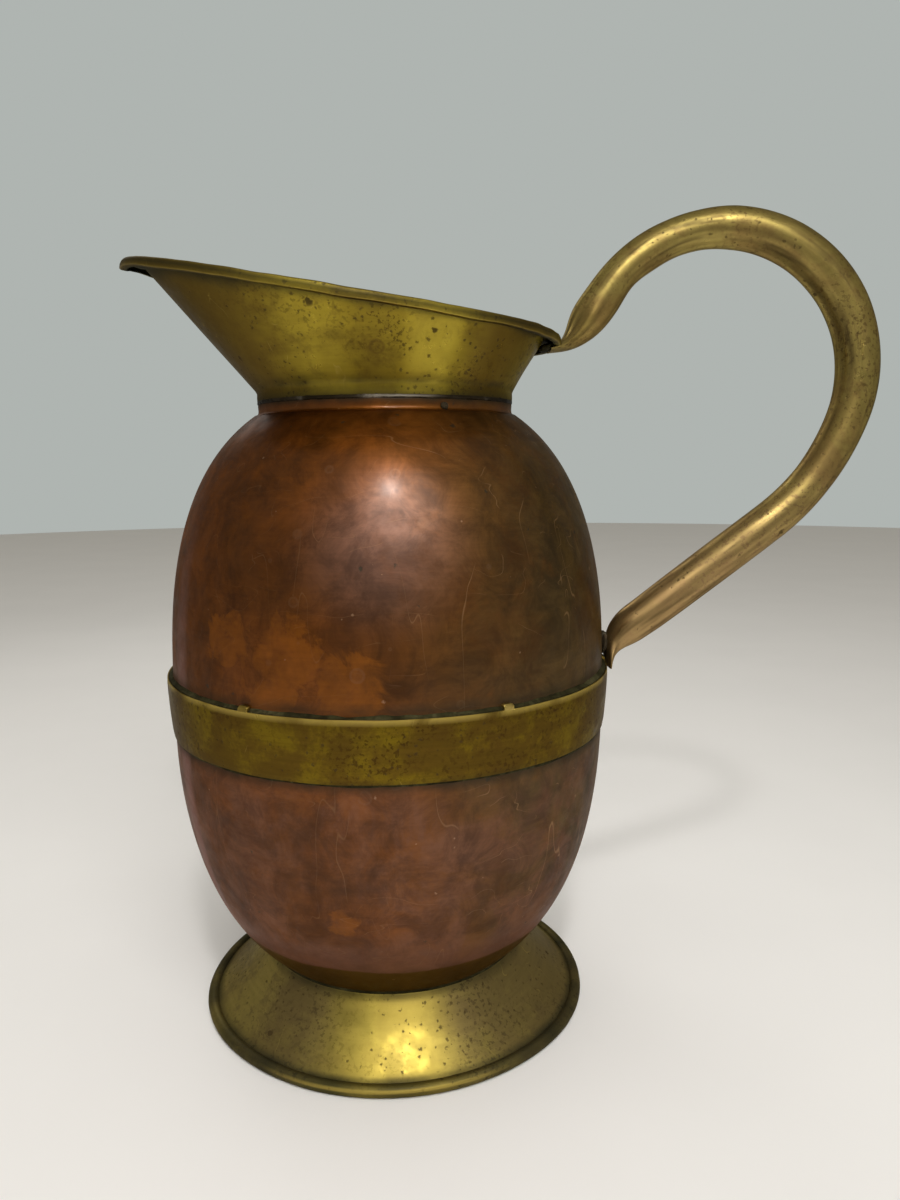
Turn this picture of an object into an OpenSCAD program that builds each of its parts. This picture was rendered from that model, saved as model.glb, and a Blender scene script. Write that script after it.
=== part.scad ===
// Copper and brass water jug, 333 mm tall, with an oblique pouring collar and a looped tube handle.
// The origin is the centre of the foot's resting face. +Z is up, the spout points to -X and the
// handle to +X. All lengths are in millimetres.

/* [Copper body] */
// Outside radius at the waist
body_r = 90; // [80:1:100]
// Height of the waist, where the two copper shells meet
waist_z = 137; // [133:1:141]
// Height of the full dome above the waist, before the neck is cut from it
upper_rise = 126.6; // [120:0.2:130]
// Fullness of the upper dome: 2 is an ellipse, more is squarer
upper_power = 2.7; // [2.4:0.1:3]
// Depth of the full dome below the waist, before the bottom is flattened
lower_drop = 126; // [122:0.5:128]
// Fullness of the lower dome
lower_power = 2.5; // [2.3:0.1:2.8]
// Height of the flat copper bottom, on its underside
bottom_z = 16; // [14:0.5:18]
// Thickness of the copper sheet
copper_t = 0.8; // [0.6:0.1:1]

/* [Neck and pouring collar] */
// Outside radius of the copper neck
neck_r = 51.7; // [50:0.1:53]
// Top edge of the copper neck
neck_top_z = 255.4; // [255:0.1:257]
// Height where the brass collar starts to flare
flare_z = 260.4; // [259:0.1:262]
// Flare of the spout side, in degrees from upright
spout_flare = 40.9; // [38:0.1:43]
// Flare of the handle side, in degrees from upright
back_flare = 31.6; // [30:0.1:34]
// Radius of the sweep that trims the collar's top edge
trim_r = 673; // [650:1:700]
// Lowest height of the trimmed edge
trim_low_z = 281.2; // [281:0.1:283]
// Distance from the jug's axis back to the trimmed edge's lowest point
trim_low_x = 95; // [90:1:100]
// How far the rolled rim stands off the collar's wall
rim_out = 5.6; // [5:0.1:6.5]
// Depth of the rolled rim's lip
rim_lip = 3.4; // [3:0.1:3.4]
// Thickness of the brass sheet
brass_t = 0.8; // [0.6:0.1:1]

/* [Waist band] */
// Lower edge of the brass band
band_low_z = 125.3; // [124:0.1:126]
// Upper edge of the brass band
band_top_z = 148.2; // [147:0.1:149]
// Outside radius at the band's lower edge
band_low_r = 90.8; // [90.8:0.1:91.5]
// Outside radius at the band's upper edge
band_top_r = 92.3; // [92:0.1:92.5]
// Number of small cleats along the band's upper edge
cleat_count = 6; // [6:6:12]

/* [Foot] */
// Radius where the foot meets the copper
foot_top_r = 55.5; // [54:0.1:57]
// Outside radius of the foot's rolled edge
foot_r = 83; // [80:0.5:86]
// Thickness of the foot's rolled edge
foot_bead = 5; // [4.6:0.1:5.4]

/* [Handle] */
// Outside diameter of the brass tube
tube_d = 16.6; // [15:0.1:18]
// Wall of the brass tube
tube_t = 1; // [0.8:0.1:1.2]
// Distance of the loop's centre from the jug's axis
loop_x = 137.3; // [136:0.1:139]
// Height of the loop's centre
loop_z = 267.9; // [266:0.1:270]
// Radius of the loop, to the tube's centre
loop_r = 56.8; // [56:0.1:57.5]
// Radius of the easier bend below the loop
bend_r = 92; // [91:0.5:93]

/* [Hidden] */
$fn = 96;

copper = "#8a4630";
brass = "#9a8438";
worn_brass = "#b29a55";
tin = "#a9a496";
old_solder = "#39402f";
steel = "#6d6a66";

// Steps in each half of the body's outline
outline_steps = 22;
// The bowl's top edge slips this far up inside the upper shell
lap_low_z = waist_z - 6;
lap_top_z = waist_z + 3;
// Small radius in the corner under the neck
neck_fillet = 1.6;
// The collar's foot slips this far down inside the neck
spigot_low_z = neck_top_z - 6;
// The collar's visible sheet starts this far above the neck's edge
collar_gap = 1.6;
// Lowest part of the rolled edge is worn flat to this depth
foot_wear = 0.12;
// Width and height of one cleat
cleat_w = 4.6;
cleat_h = 3;
// The two cleats beside the front centre line stand this far round from it
cleat_turn = 30;

// The tilted cone that the collar is cut from
collar_half = (spout_flare + back_flare) / 2;
collar_tilt = (spout_flare - back_flare) / 2;
collar_base_r = neck_r + 0.3;
apex_drop = 2 * collar_base_r / (tan(spout_flare) + tan(back_flare));
apex_z = flare_z - apex_drop;
apex_x = apex_drop * tan(spout_flare) - collar_base_r;
cone_h = 190;

// The loop starts here, in degrees about its centre, and runs over the top and down
loop_start = 146;
loop_end = -18.7;
bend_end = -52.4;
bend_x = loop_x - (bend_r - loop_r) * cos(loop_end);
bend_z = loop_z - (bend_r - loop_r) * sin(loop_end);
straight_top = [bend_x + bend_r * cos(bend_end), bend_z + bend_r * sin(bend_end)];
straight_dir = [sin(bend_end), -cos(bend_end)];
straight_len = 63;
straight_low = straight_top + straight_len * straight_dir;
tube_r = tube_d / 2;
tab_half = 0.95;

// Stations of the two flattened ends: how far out, how high, and half the thickness there
upper_end = [
    [67, 276, 1],
    [70.5, 276.8, 1.3],
    [74, 278.6, 2.2],
    [77.3, 281.5, 3.8],
    [80.4, 285.2, 5.6],
    [83.6, 289.6, 7],
    [86.8, 294.4, 8]
];
lower_end = [
    [105, 164.1, 7.5],
    [100.6, 160.4, 6],
    [97.3, 156.9, 4.2],
    [95.1, 153.4, 2.5],
    [93.8, 150, 1.3],
    [93.4, 147, tab_half]
];
tube_sides = 20;
loop_steps = 26;
bend_steps = 6;
// Half of the slit left between the two walls of a flattened end
slit_half = 0.15;

// Stations along the whole tube, from the upper tab over the loop to the lower tab
loop_stations = [
    for (i = [0 : loop_steps])
        let (a = loop_start + (loop_end - loop_start) * i / loop_steps)
        [loop_x + loop_r * cos(a), loop_z + loop_r * sin(a), tube_r]
];
bend_stations = [
    for (i = [1 : bend_steps])
        let (a = loop_end + (bend_end - loop_end) * i / bend_steps)
        [bend_x + bend_r * cos(a), bend_z + bend_r * sin(a), tube_r]
];
tube_stations = concat(
    upper_end,
    loop_stations,
    bend_stations,
    [[straight_low[0], straight_low[1], tube_r]],
    lower_end
);

// Radius of the copper body's outside, from the angle up its outline
function outline_point(angle, rise, power, side) = [
    body_r * pow(cos(angle), 2 / power),
    waist_z + side * rise * pow(sin(angle), 2 / power)
];

// Angle at which an outline reaches a given radius
function outline_angle(radius, power) = acos(pow(radius / body_r, power / 2));

// Points of an outline from the waist to a given radius
function outline(rise, power, side, radius) = [
    for (i = [0 : outline_steps])
        outline_point(i / outline_steps * outline_angle(radius, power), rise, power, side)
];

// Unit direction from one point of an outline to the next
function heading(points, i) =
    let (a = points[max(i - 1, 0)], b = points[min(i + 1, len(points) - 1)])
    (b - a) / norm(b - a);

// The same outline moved inward by a sheet's thickness
function inset(points, thickness, side) = [
    for (i = [0 : len(points) - 1])
        let (d = heading(points, i))
        points[i] + thickness * side * [-d[1], d[0]]
];

// A list of points in the opposite order
function reversed(points) = [for (i = [len(points) - 1 : -1 : 0]) points[i]];

upper_outline = outline(upper_rise, upper_power, 1, neck_r + neck_fillet);
lower_outline = outline(lower_drop, lower_power, -1, 38);
neck_base_z = upper_outline[outline_steps][1];
inner_body_r = body_r - copper_t;

// A ring with a polygon for its section
module turned(points) {
    rotate_extrude() polygon(points);
}

// ---- Foot ----

bead_r = foot_bead / 2;
bead_centre_r = foot_r - bead_r;
bead_centre_z = bead_r - foot_wear;
wire_r = bead_r - brass_t;
foot_top_z = waist_z - lower_drop * pow(1 - pow(foot_top_r / body_r, lower_power), 1 / lower_power);
seat_steps = 3;
seat_in = 8;

// Height of the copper's underside at a radius
function under_z(radius) =
    waist_z - lower_drop * pow(1 - pow(radius / body_r, lower_power), 1 / lower_power);

// The foot's seat runs in under the copper, then its skirt sweeps out to the rolled edge
seat = [for (i = [0 : seat_steps]) let (r = foot_top_r - i / seat_steps * seat_in) [r, under_z(r)]];
skirt_low_r = bead_centre_r - bead_r * cos(35);
skirt_low_z = bead_centre_z + bead_r * sin(35);
skirt_steps = 8;
skirt_hollow = 1.4;
function skirt_point(t, drop) = [
    foot_top_r + t * (skirt_low_r - foot_top_r) - skirt_hollow * sin(180 * t) * 0.7,
    foot_top_z + t * (skirt_low_z - foot_top_z) - skirt_hollow * sin(180 * t) - drop
];

module foot_flare() {
    skirt_out = [for (i = [0 : skirt_steps]) skirt_point(i / skirt_steps, 0)];
    skirt_in = [for (i = [skirt_steps : -1 : 0]) skirt_point(i / skirt_steps, brass_t * 1.35)];
    seat_under = [for (p = seat) [p[0], p[1] - brass_t * 1.35]];
    color(brass) difference() {
        union() {
            turned(concat(reversed(seat), skirt_out, skirt_in, seat_under));
            rotate_extrude() translate([bead_centre_r, bead_centre_z]) circle(bead_r, $fn = 48);
        }
        rotate_extrude() translate([bead_centre_r, bead_centre_z]) circle(wire_r, $fn = 48);
        translate([0, 0, -10]) cylinder(h = 10, r = foot_r + 5);
    }
}

module foot_rim_wire() {
    color(steel) rotate_extrude() translate([bead_centre_r, bead_centre_z]) circle(wire_r, $fn = 48);
}

module foot_solder() {
    fillet = 1.5;
    color(old_solder) turned([
        [foot_top_r, foot_top_z],
        [foot_top_r + fillet * 0.5, foot_top_z - fillet * 0.35],
        [foot_top_r + fillet, under_z(foot_top_r + fillet)],
        [foot_top_r + fillet / 2, under_z(foot_top_r + fillet / 2)]
    ]);
}

// ---- Copper body ----

module lower_bowl() {
    wall_in = inset(lower_outline, copper_t, -1);
    lap_r = inner_body_r;
    outer = [for (p = lower_outline) if (p[1] < lap_low_z - 1) p];
    inner = [for (p = wall_in) if (p[1] < lap_low_z - 1) p];
    color(copper) turned(concat(
        [[0, bottom_z], [34, bottom_z]],
        reversed(outer),
        [[body_r, lap_low_z - 0.4], [lap_r, lap_low_z], [lap_r, lap_top_z]],
        [[lap_r - copper_t, lap_top_z], [lap_r - copper_t, lap_low_z - 1]],
        inner,
        [[33.5, bottom_z + copper_t], [0, bottom_z + copper_t]]
    ));
}

module upper_shell() {
    fillet_arc = [
        for (a = [0 : 22.5 : 90])
            [neck_r + neck_fillet * (1 - sin(a)), neck_base_z + neck_fillet * (1 - cos(a))]
    ];
    wall_in = inset(upper_outline, copper_t, 1);
    inner = [for (p = wall_in) if (p[0] > neck_r + 1) p];
    color(copper) turned(concat(
        [[body_r, lap_low_z]],
        upper_outline,
        [for (i = [1 : len(fillet_arc) - 1]) fillet_arc[i]],
        [[neck_r, neck_top_z], [neck_r - copper_t, neck_top_z]],
        [[neck_r - copper_t, neck_base_z - 0.6]],
        reversed(inner),
        [[inner_body_r, lap_low_z]]
    ));
}

module waist_solder() {
    fillet = 1.4;
    color(tin) turned([
        [inner_body_r, lap_top_z],
        [inner_body_r - copper_t, lap_top_z],
        [inner_body_r - 0.05, lap_top_z + fillet]
    ]);
}

// ---- Waist band ----

// The body's outside radius at a height near the waist
function body_radius(z) =
    let (up = z > waist_z)
    let (rise = up ? upper_rise : lower_drop)
    let (power = up ? upper_power : lower_power)
    body_r * pow(1 - pow(abs(z - waist_z) / rise, power), 1 / power);

module waist_band() {
    color(brass) turned([
        [band_low_r - brass_t, band_low_z],
        [band_low_r, band_low_z],
        [band_top_r, band_top_z],
        [band_top_r - brass_t, band_top_z]
    ]);
}

module band_upper_solder() {
    fill_low = band_top_z - 5;
    meniscus = 1.4;
    slope = (band_top_r - band_low_r) / (band_top_z - band_low_z);
    back_r = band_top_r - brass_t;
    color(old_solder) turned([
        [body_radius(fill_low), fill_low],
        [back_r - 5 * slope, fill_low],
        [back_r, band_top_z],
        [body_radius(band_top_z + meniscus), band_top_z + meniscus]
    ]);
}

module band_lower_solder() {
    fillet = 1.2;
    color(old_solder) turned([
        [body_radius(band_low_z - fillet), band_low_z - fillet],
        [band_low_r - 0.2, band_low_z],
        [body_radius(band_low_z), band_low_z]
    ]);
}

module band_cleats() {
    stand = band_top_r - brass_t;
    color(worn_brass)
        for (i = [0 : cleat_count - 1])
            rotate([0, 0, -90 + cleat_turn + i * 360 / cleat_count])
                translate([body_r - 0.1, -cleat_w / 2, band_top_z])
                    cube([stand - body_r + 0.5, cleat_w, cleat_h]);
}

// ---- Neck joint and pouring collar ----

module neck_solder() {
    color(tin) turned([
        [neck_r - copper_t, neck_top_z],
        [neck_r + 0.1, neck_top_z],
        [neck_r + 0.5, neck_top_z + collar_gap / 2],
        [neck_r + 0.2, neck_top_z + collar_gap],
        [neck_r - copper_t, neck_top_z + collar_gap]
    ]);
}

module neck_solder_drop() {
    drop_turn = -62;
    color(old_solder)
        rotate([0, 0, drop_turn])
            translate([neck_r + 0.2, 0, neck_top_z - 2.6])
                sphere(r = 1.5, $fn = 24);
}

// The collar's cone, moved outward by a distance square to its wall
module collar_cone(out) {
    shift = -out / sin(collar_half);
    start = 30;
    translate([apex_x, 0, apex_z])
        rotate([0, -collar_tilt, 0])
            translate([0, 0, shift + start])
                cylinder(
                    h = cone_h,
                    r1 = start * tan(collar_half),
                    r2 = (start + cone_h) * tan(collar_half),
                    $fn = 144
                );
}

// Everything above the sweep that trims the collar, moved down by a distance
module above_trim(down) {
    translate([trim_low_x, 0, trim_low_z + trim_r])
        rotate([90, 0, 0])
            cylinder(h = 400, r = trim_r + down, center = true, $fn = 360);
}

module pouring_collar() {
    skirt_low_z = neck_top_z + collar_gap;
    skirt_top_z = flare_z + 0.8;
    spigot_r = neck_r - copper_t;
    bore_r = collar_base_r - brass_t - 0.2;
    color(brass) difference() {
        union() {
            // wall
            intersection() {
                collar_cone(0);
                translate([0, 0, flare_z - 0.4]) cylinder(h = 120, r = 150);
            }
            // rolled rim: the sheet turns outward, then down into a lip
            difference() {
                intersection() {
                    collar_cone(rim_out);
                    above_trim(rim_lip);
                }
                difference() {
                    collar_cone(rim_out - brass_t);
                    above_trim(brass_t);
                }
            }
            // straight foot of the collar, with its spigot inside the neck
            translate([0, 0, skirt_low_z])
                cylinder(h = skirt_top_z - skirt_low_z, r = collar_base_r);
            translate([0, 0, spigot_low_z])
                cylinder(h = skirt_low_z + 0.5 - spigot_low_z, r = spigot_r);
        }
        above_trim(0);
        collar_cone(-brass_t);
        translate([0, 0, skirt_low_z + 1])
            cylinder(h = skirt_top_z + 0.4 - skirt_low_z - 1, r = bore_r);
        translate([0, 0, spigot_low_z - 1])
            cylinder(h = skirt_low_z + 3 - spigot_low_z, r = spigot_r - brass_t);
    }
}

// ---- Handle ----

// Half the width of a flattened tube: its circumference stays the same
function flat_half(half) = sqrt(2 * tube_r * tube_r - half * half);

// One ring of the tube, thinned by the wall where it is the inside
function tube_ring(stations, i, thin) =
    let (path = [for (s = stations) [s[0], s[1]]])
    let (half = max(stations[i][2] - thin, slit_half))
    let (wide = flat_half(stations[i][2]) - thin)
    let (d = heading(path, i))
    [
        for (k = [0 : tube_sides - 1])
            let (a = k * 360 / tube_sides)
            let (off = half * sin(a))
            [path[i][0] - off * d[1], wide * cos(a), path[i][1] + off * d[0]]
    ];

// A closed sweep through the rings of a list of stations
module tube_sweep(stations, thin) {
    count = len(stations);
    rings = [for (i = [0 : count - 1]) each tube_ring(stations, i, thin)];
    walls = [
        for (i = [0 : count - 2])
            for (k = [0 : tube_sides - 1])
                let (m = (k + 1) % tube_sides)
                let (here = i * tube_sides)
                let (next = here + tube_sides)
                each [[here + k, next + m, here + m], [here + k, next + k, next + m]]
    ];
    start_cap = [[for (k = [0 : tube_sides - 1]) k]];
    end_cap = [[for (k = [tube_sides - 1 : -1 : 0]) (count - 1) * tube_sides + k]];
    polyhedron(rings, concat(walls, start_cap, end_cap), convexity = 4);
}

// The same stations carried a little past both tabs, so that the bore runs right through
function carried_past(stations) =
    let (past = 2)
    let (last = len(stations) - 1)
    let (d0 = heading([for (s = stations) [s[0], s[1]]], 0))
    let (d1 = heading([for (s = stations) [s[0], s[1]]], last))
    concat(
        [[stations[0][0] - past * d0[0], stations[0][1] - past * d0[1], stations[0][2]]],
        stations,
        [[stations[last][0] + past * d1[0], stations[last][1] + past * d1[1], stations[last][2]]]
    );

module handle_tube() {
    color(brass) difference() {
        tube_sweep(tube_stations, 0);
        tube_sweep(carried_past(tube_stations), tube_t);
    }
}

// Solder that fills the gap between the upper tab, the collar's wall and the rim above
module handle_upper_solder() {
    fill_w = 15;
    tab_x = upper_end[0][0];
    tab_top = upper_end[0][1] + upper_end[0][2];
    color(old_solder)
        difference() {
            translate([0, fill_w / 2, 0])
                rotate([90, 0, 0])
                    linear_extrude(fill_w)
                        polygon([
                            [60, tab_top - 0.6],
                            [tab_x - 0.1, tab_top - 0.4],
                            [tab_x + 0.1, tab_top + 0.05],
                            [tab_x + 1.8, tab_top + 0.5],
                            [tab_x + 1.9, tab_top + 2.5],
                            [tab_x + 1.3, trim_low_z - 0.2],
                            [60, trim_low_z - 0.2]
                        ]);
            collar_cone(0);
        }
}

// Solder between the lower tab and the copper, up into the crotch
module handle_lower_solder() {
    fill_w = 18;
    fill_low = band_top_z + 1.6;
    fill_top = 160.5;
    color(old_solder)
        difference() {
            translate([88, -fill_w / 2, fill_low]) cube([6.2, fill_w, fill_top - fill_low]);
            translate([0, 0, fill_low - 1]) cylinder(h = 20, r = body_r - 0.02);
            tube_sweep(lower_end, 0);
        }
}

foot_flare();
foot_rim_wire();
foot_solder();
lower_bowl();
upper_shell();
waist_solder();
waist_band();
band_upper_solder();
band_lower_solder();
band_cleats();
neck_solder();
neck_solder_drop();
pouring_collar();
handle_tube();
handle_upper_solder();
handle_lower_solder();
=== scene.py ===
"""Looks of the copper and brass water jug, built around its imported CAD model.

The jug has a raised copper body in two shells, a brass band over their joint, a flared
brass foot, an oblique brass pouring collar and a looped brass tube for a handle, all held
with solder. Lengths in the classes are in millimetres, and meshes are written in metres.
"""

import logging
import math
from collections.abc import Callable, Sequence
from dataclasses import dataclass
from enum import Enum

import bmesh
import bpy
from mathutils import Matrix, Vector, noise


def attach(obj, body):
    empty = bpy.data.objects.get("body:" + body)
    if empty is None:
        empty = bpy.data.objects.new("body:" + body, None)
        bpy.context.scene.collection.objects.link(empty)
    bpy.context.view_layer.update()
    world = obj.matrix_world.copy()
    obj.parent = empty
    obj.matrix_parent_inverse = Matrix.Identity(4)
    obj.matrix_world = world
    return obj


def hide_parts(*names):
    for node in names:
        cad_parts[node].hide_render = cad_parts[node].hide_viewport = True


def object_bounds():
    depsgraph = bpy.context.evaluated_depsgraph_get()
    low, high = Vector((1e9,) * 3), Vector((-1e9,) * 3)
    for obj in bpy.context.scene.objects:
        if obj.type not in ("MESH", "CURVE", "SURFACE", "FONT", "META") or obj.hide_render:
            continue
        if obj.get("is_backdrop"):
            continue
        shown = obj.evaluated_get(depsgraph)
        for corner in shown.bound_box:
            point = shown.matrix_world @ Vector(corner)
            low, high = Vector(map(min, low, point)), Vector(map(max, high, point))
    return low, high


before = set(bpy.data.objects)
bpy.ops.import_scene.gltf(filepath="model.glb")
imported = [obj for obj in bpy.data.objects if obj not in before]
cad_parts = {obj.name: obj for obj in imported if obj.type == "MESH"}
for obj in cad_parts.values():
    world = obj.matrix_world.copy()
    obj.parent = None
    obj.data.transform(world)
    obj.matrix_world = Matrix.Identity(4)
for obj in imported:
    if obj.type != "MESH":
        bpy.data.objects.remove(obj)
CAD_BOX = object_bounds()

MM = 0.001
log = logging.getLogger("water_jug")

Colour = tuple[float, float, float]


class Slot(Enum):
    """Material slots of the record."""

    COPPER = "copper"
    BRASS = "brass"
    HANDLE_BRASS = "handle_brass"
    TIN = "tin"
    OLD_SOLDER = "old_solder"
    WIRE = "wire"


class Mark(Enum):
    """Values kept on the points of a mesh for its finish to read."""

    WEAR = "wear"
    GRIME = "grime"
    LINING = "lining"


# ---- Small sums ----


def smooth(low: float, high: float, value: float) -> float:
    """Goes from 0 at low to 1 at high, flat at both ends; low may be the larger."""
    t = min(max((value - low) / (high - low), 0.0), 1.0)
    return t * t * (3.0 - 2.0 * t)


def bell(centre: float, width: float, value: float) -> float:
    """One at the centre, falling to nothing at a width either side."""
    return 1.0 - smooth(0.0, width, abs(value - centre))


def between(points: Sequence[tuple[float, float]], value: float) -> float:
    """Reads a value off a line through points.

    Args:
        points: Pairs of position and value, in rising order of position.
        value: The position.

    Returns:
        The value there, held level beyond both ends.
    """
    if value <= points[0][0]:
        return points[0][1]
    for (a, va), (b, vb) in zip(points, points[1:]):
        if value <= b:
            return va + (vb - va) * (value - a) / (b - a)
    return points[-1][1]


def ripple(angle: float, seed: float, grain: float = 1.0) -> float:
    """Smooth noise round a ring, with no seam.

    Args:
        angle: Angle round the jug.
        seed: Which noise to read.
        grain: How fine the noise is round the ring.

    Returns:
        A value from about -1 to 1.
    """
    at = Vector((math.cos(angle) * grain, math.sin(angle) * grain, seed))
    return noise.noise(at)


# ---- Meshes ----


@dataclass
class Skin:
    """One point of a section: distance from the axis, height, and the marks there."""

    r: float
    z: float
    wear: float = 0.0
    grime: float = 0.0
    lining: float = 0.0


@dataclass
class Web:
    """A mesh woven from rows of points, each row running the same way."""

    rows: list[list[Vector]]
    marks: list[list[tuple[float, float, float]]]
    rows_close: bool = True
    sides_close: bool = True
    capped: bool = False

    def build(self, name: str, sharp: float = 40.0) -> bpy.types.Object:
        """Makes the object.

        Args:
            name: Name of the new piece.
            sharp: Edges bent more than this many degrees are shaded sharp.

        Returns:
            The new object, linked to the scene, in metres.
        """
        bm = bmesh.new()
        layers = [bm.verts.layers.float.new(mark.value) for mark in Mark]
        grid = []
        for row, marks in zip(self.rows, self.marks):
            if max((p - row[0]).length for p in row) < 1e-6:
                vert = bm.verts.new(row[0] * MM)
                line = [vert] * len(row)
            else:
                line = [bm.verts.new(p * MM) for p in row]
            for vert, values in zip(line, marks):
                for layer, value in zip(layers, values):
                    vert[layer] = value
            grid.append(line)
        count = len(grid[0])
        spans = count if self.sides_close else count - 1
        for i in range(len(grid) if self.rows_close else len(grid) - 1):
            here, then = grid[i], grid[(i + 1) % len(grid)]
            for k in range(spans):
                m = (k + 1) % count
                loop = list(dict.fromkeys((here[k], here[m], then[m], then[k])))
                if len(loop) > 2:
                    bm.faces.new(loop)
        if self.capped:
            bm.faces.new(list(reversed(grid[0])))
            bm.faces.new(grid[-1])
        return finish_mesh(bm, name, sharp)


def finish_mesh(bm: bmesh.types.BMesh, name: str, sharp: float) -> bpy.types.Object:
    """Turns a bmesh into a smoothly shaded object.

    Args:
        bm: The mesh, which is freed.
        name: Name of the new piece.
        sharp: Edges bent more than this many degrees are shaded sharp.

    Returns:
        The new object, linked to the scene.
    """
    bmesh.ops.recalc_face_normals(bm, faces=bm.faces)
    mesh = bpy.data.meshes.new(name)
    bm.to_mesh(mesh)
    bm.free()
    mesh.shade_smooth()
    mesh.set_sharp_from_angle(angle=math.radians(sharp))
    piece = bpy.data.objects.new(name, mesh)
    bpy.context.collection.objects.link(piece)
    return piece


def turned(
    name: str,
    section: Sequence[Skin],
    steps: int = 256,
    shape: Callable[[float, Skin], tuple[float, float, float]] | None = None,
    marks: Callable[[float, Skin], tuple[float, float, float]] | None = None,
    closed: bool = True,
) -> bpy.types.Object:
    """Turns a section round the jug's axis.

    Args:
        name: Name of the new piece.
        section: Points of the section in order.
        steps: How many steps the turn has.
        shape: Gives a shift outward, upward and toward +X at an angle and a point.
        marks: Gives wear, grime and lining at an angle and a point.
        closed: Whether the last point joins the first.

    Returns:
        The new object.
    """
    rows, values = [], []
    for skin in section:
        row, line = [], []
        for k in range(steps):
            angle = 2.0 * math.pi * k / steps + math.pi / 2.0
            out, up, over = shape(angle, skin) if shape and skin.r > 0 else (0.0, 0.0, 0.0)
            r = skin.r + out
            row.append(Vector((r * math.cos(angle) + over, r * math.sin(angle), skin.z + up)))
            line.append(
                marks(angle, skin) if marks else (skin.wear, skin.grime, skin.lining)
            )
        rows.append(row)
        values.append(line)
    return Web(rows, values, rows_close=closed).build(name)


def settle(
    piece: bpy.types.Object,
    slot: Slot,
    material: bpy.types.Material,
    nodes: Sequence[str] = (),
) -> None:
    """Dresses a piece, hangs it on the jug and hides the CAD nodes that it stands for.

    Args:
        piece: The new piece.
        slot: The record's slot that its finish belongs to; not used.
        material: Its finish.
        nodes: CAD nodes that it replaces.
    """
    piece.data.materials.clear()
    piece.data.materials.append(material)
    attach(piece, "root")
    if nodes:
        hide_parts(*nodes)
    log.info("%s: %d faces, for %s", piece.name, len(piece.data.polygons), ", ".join(nodes))


# ---- Node trees ----


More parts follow.
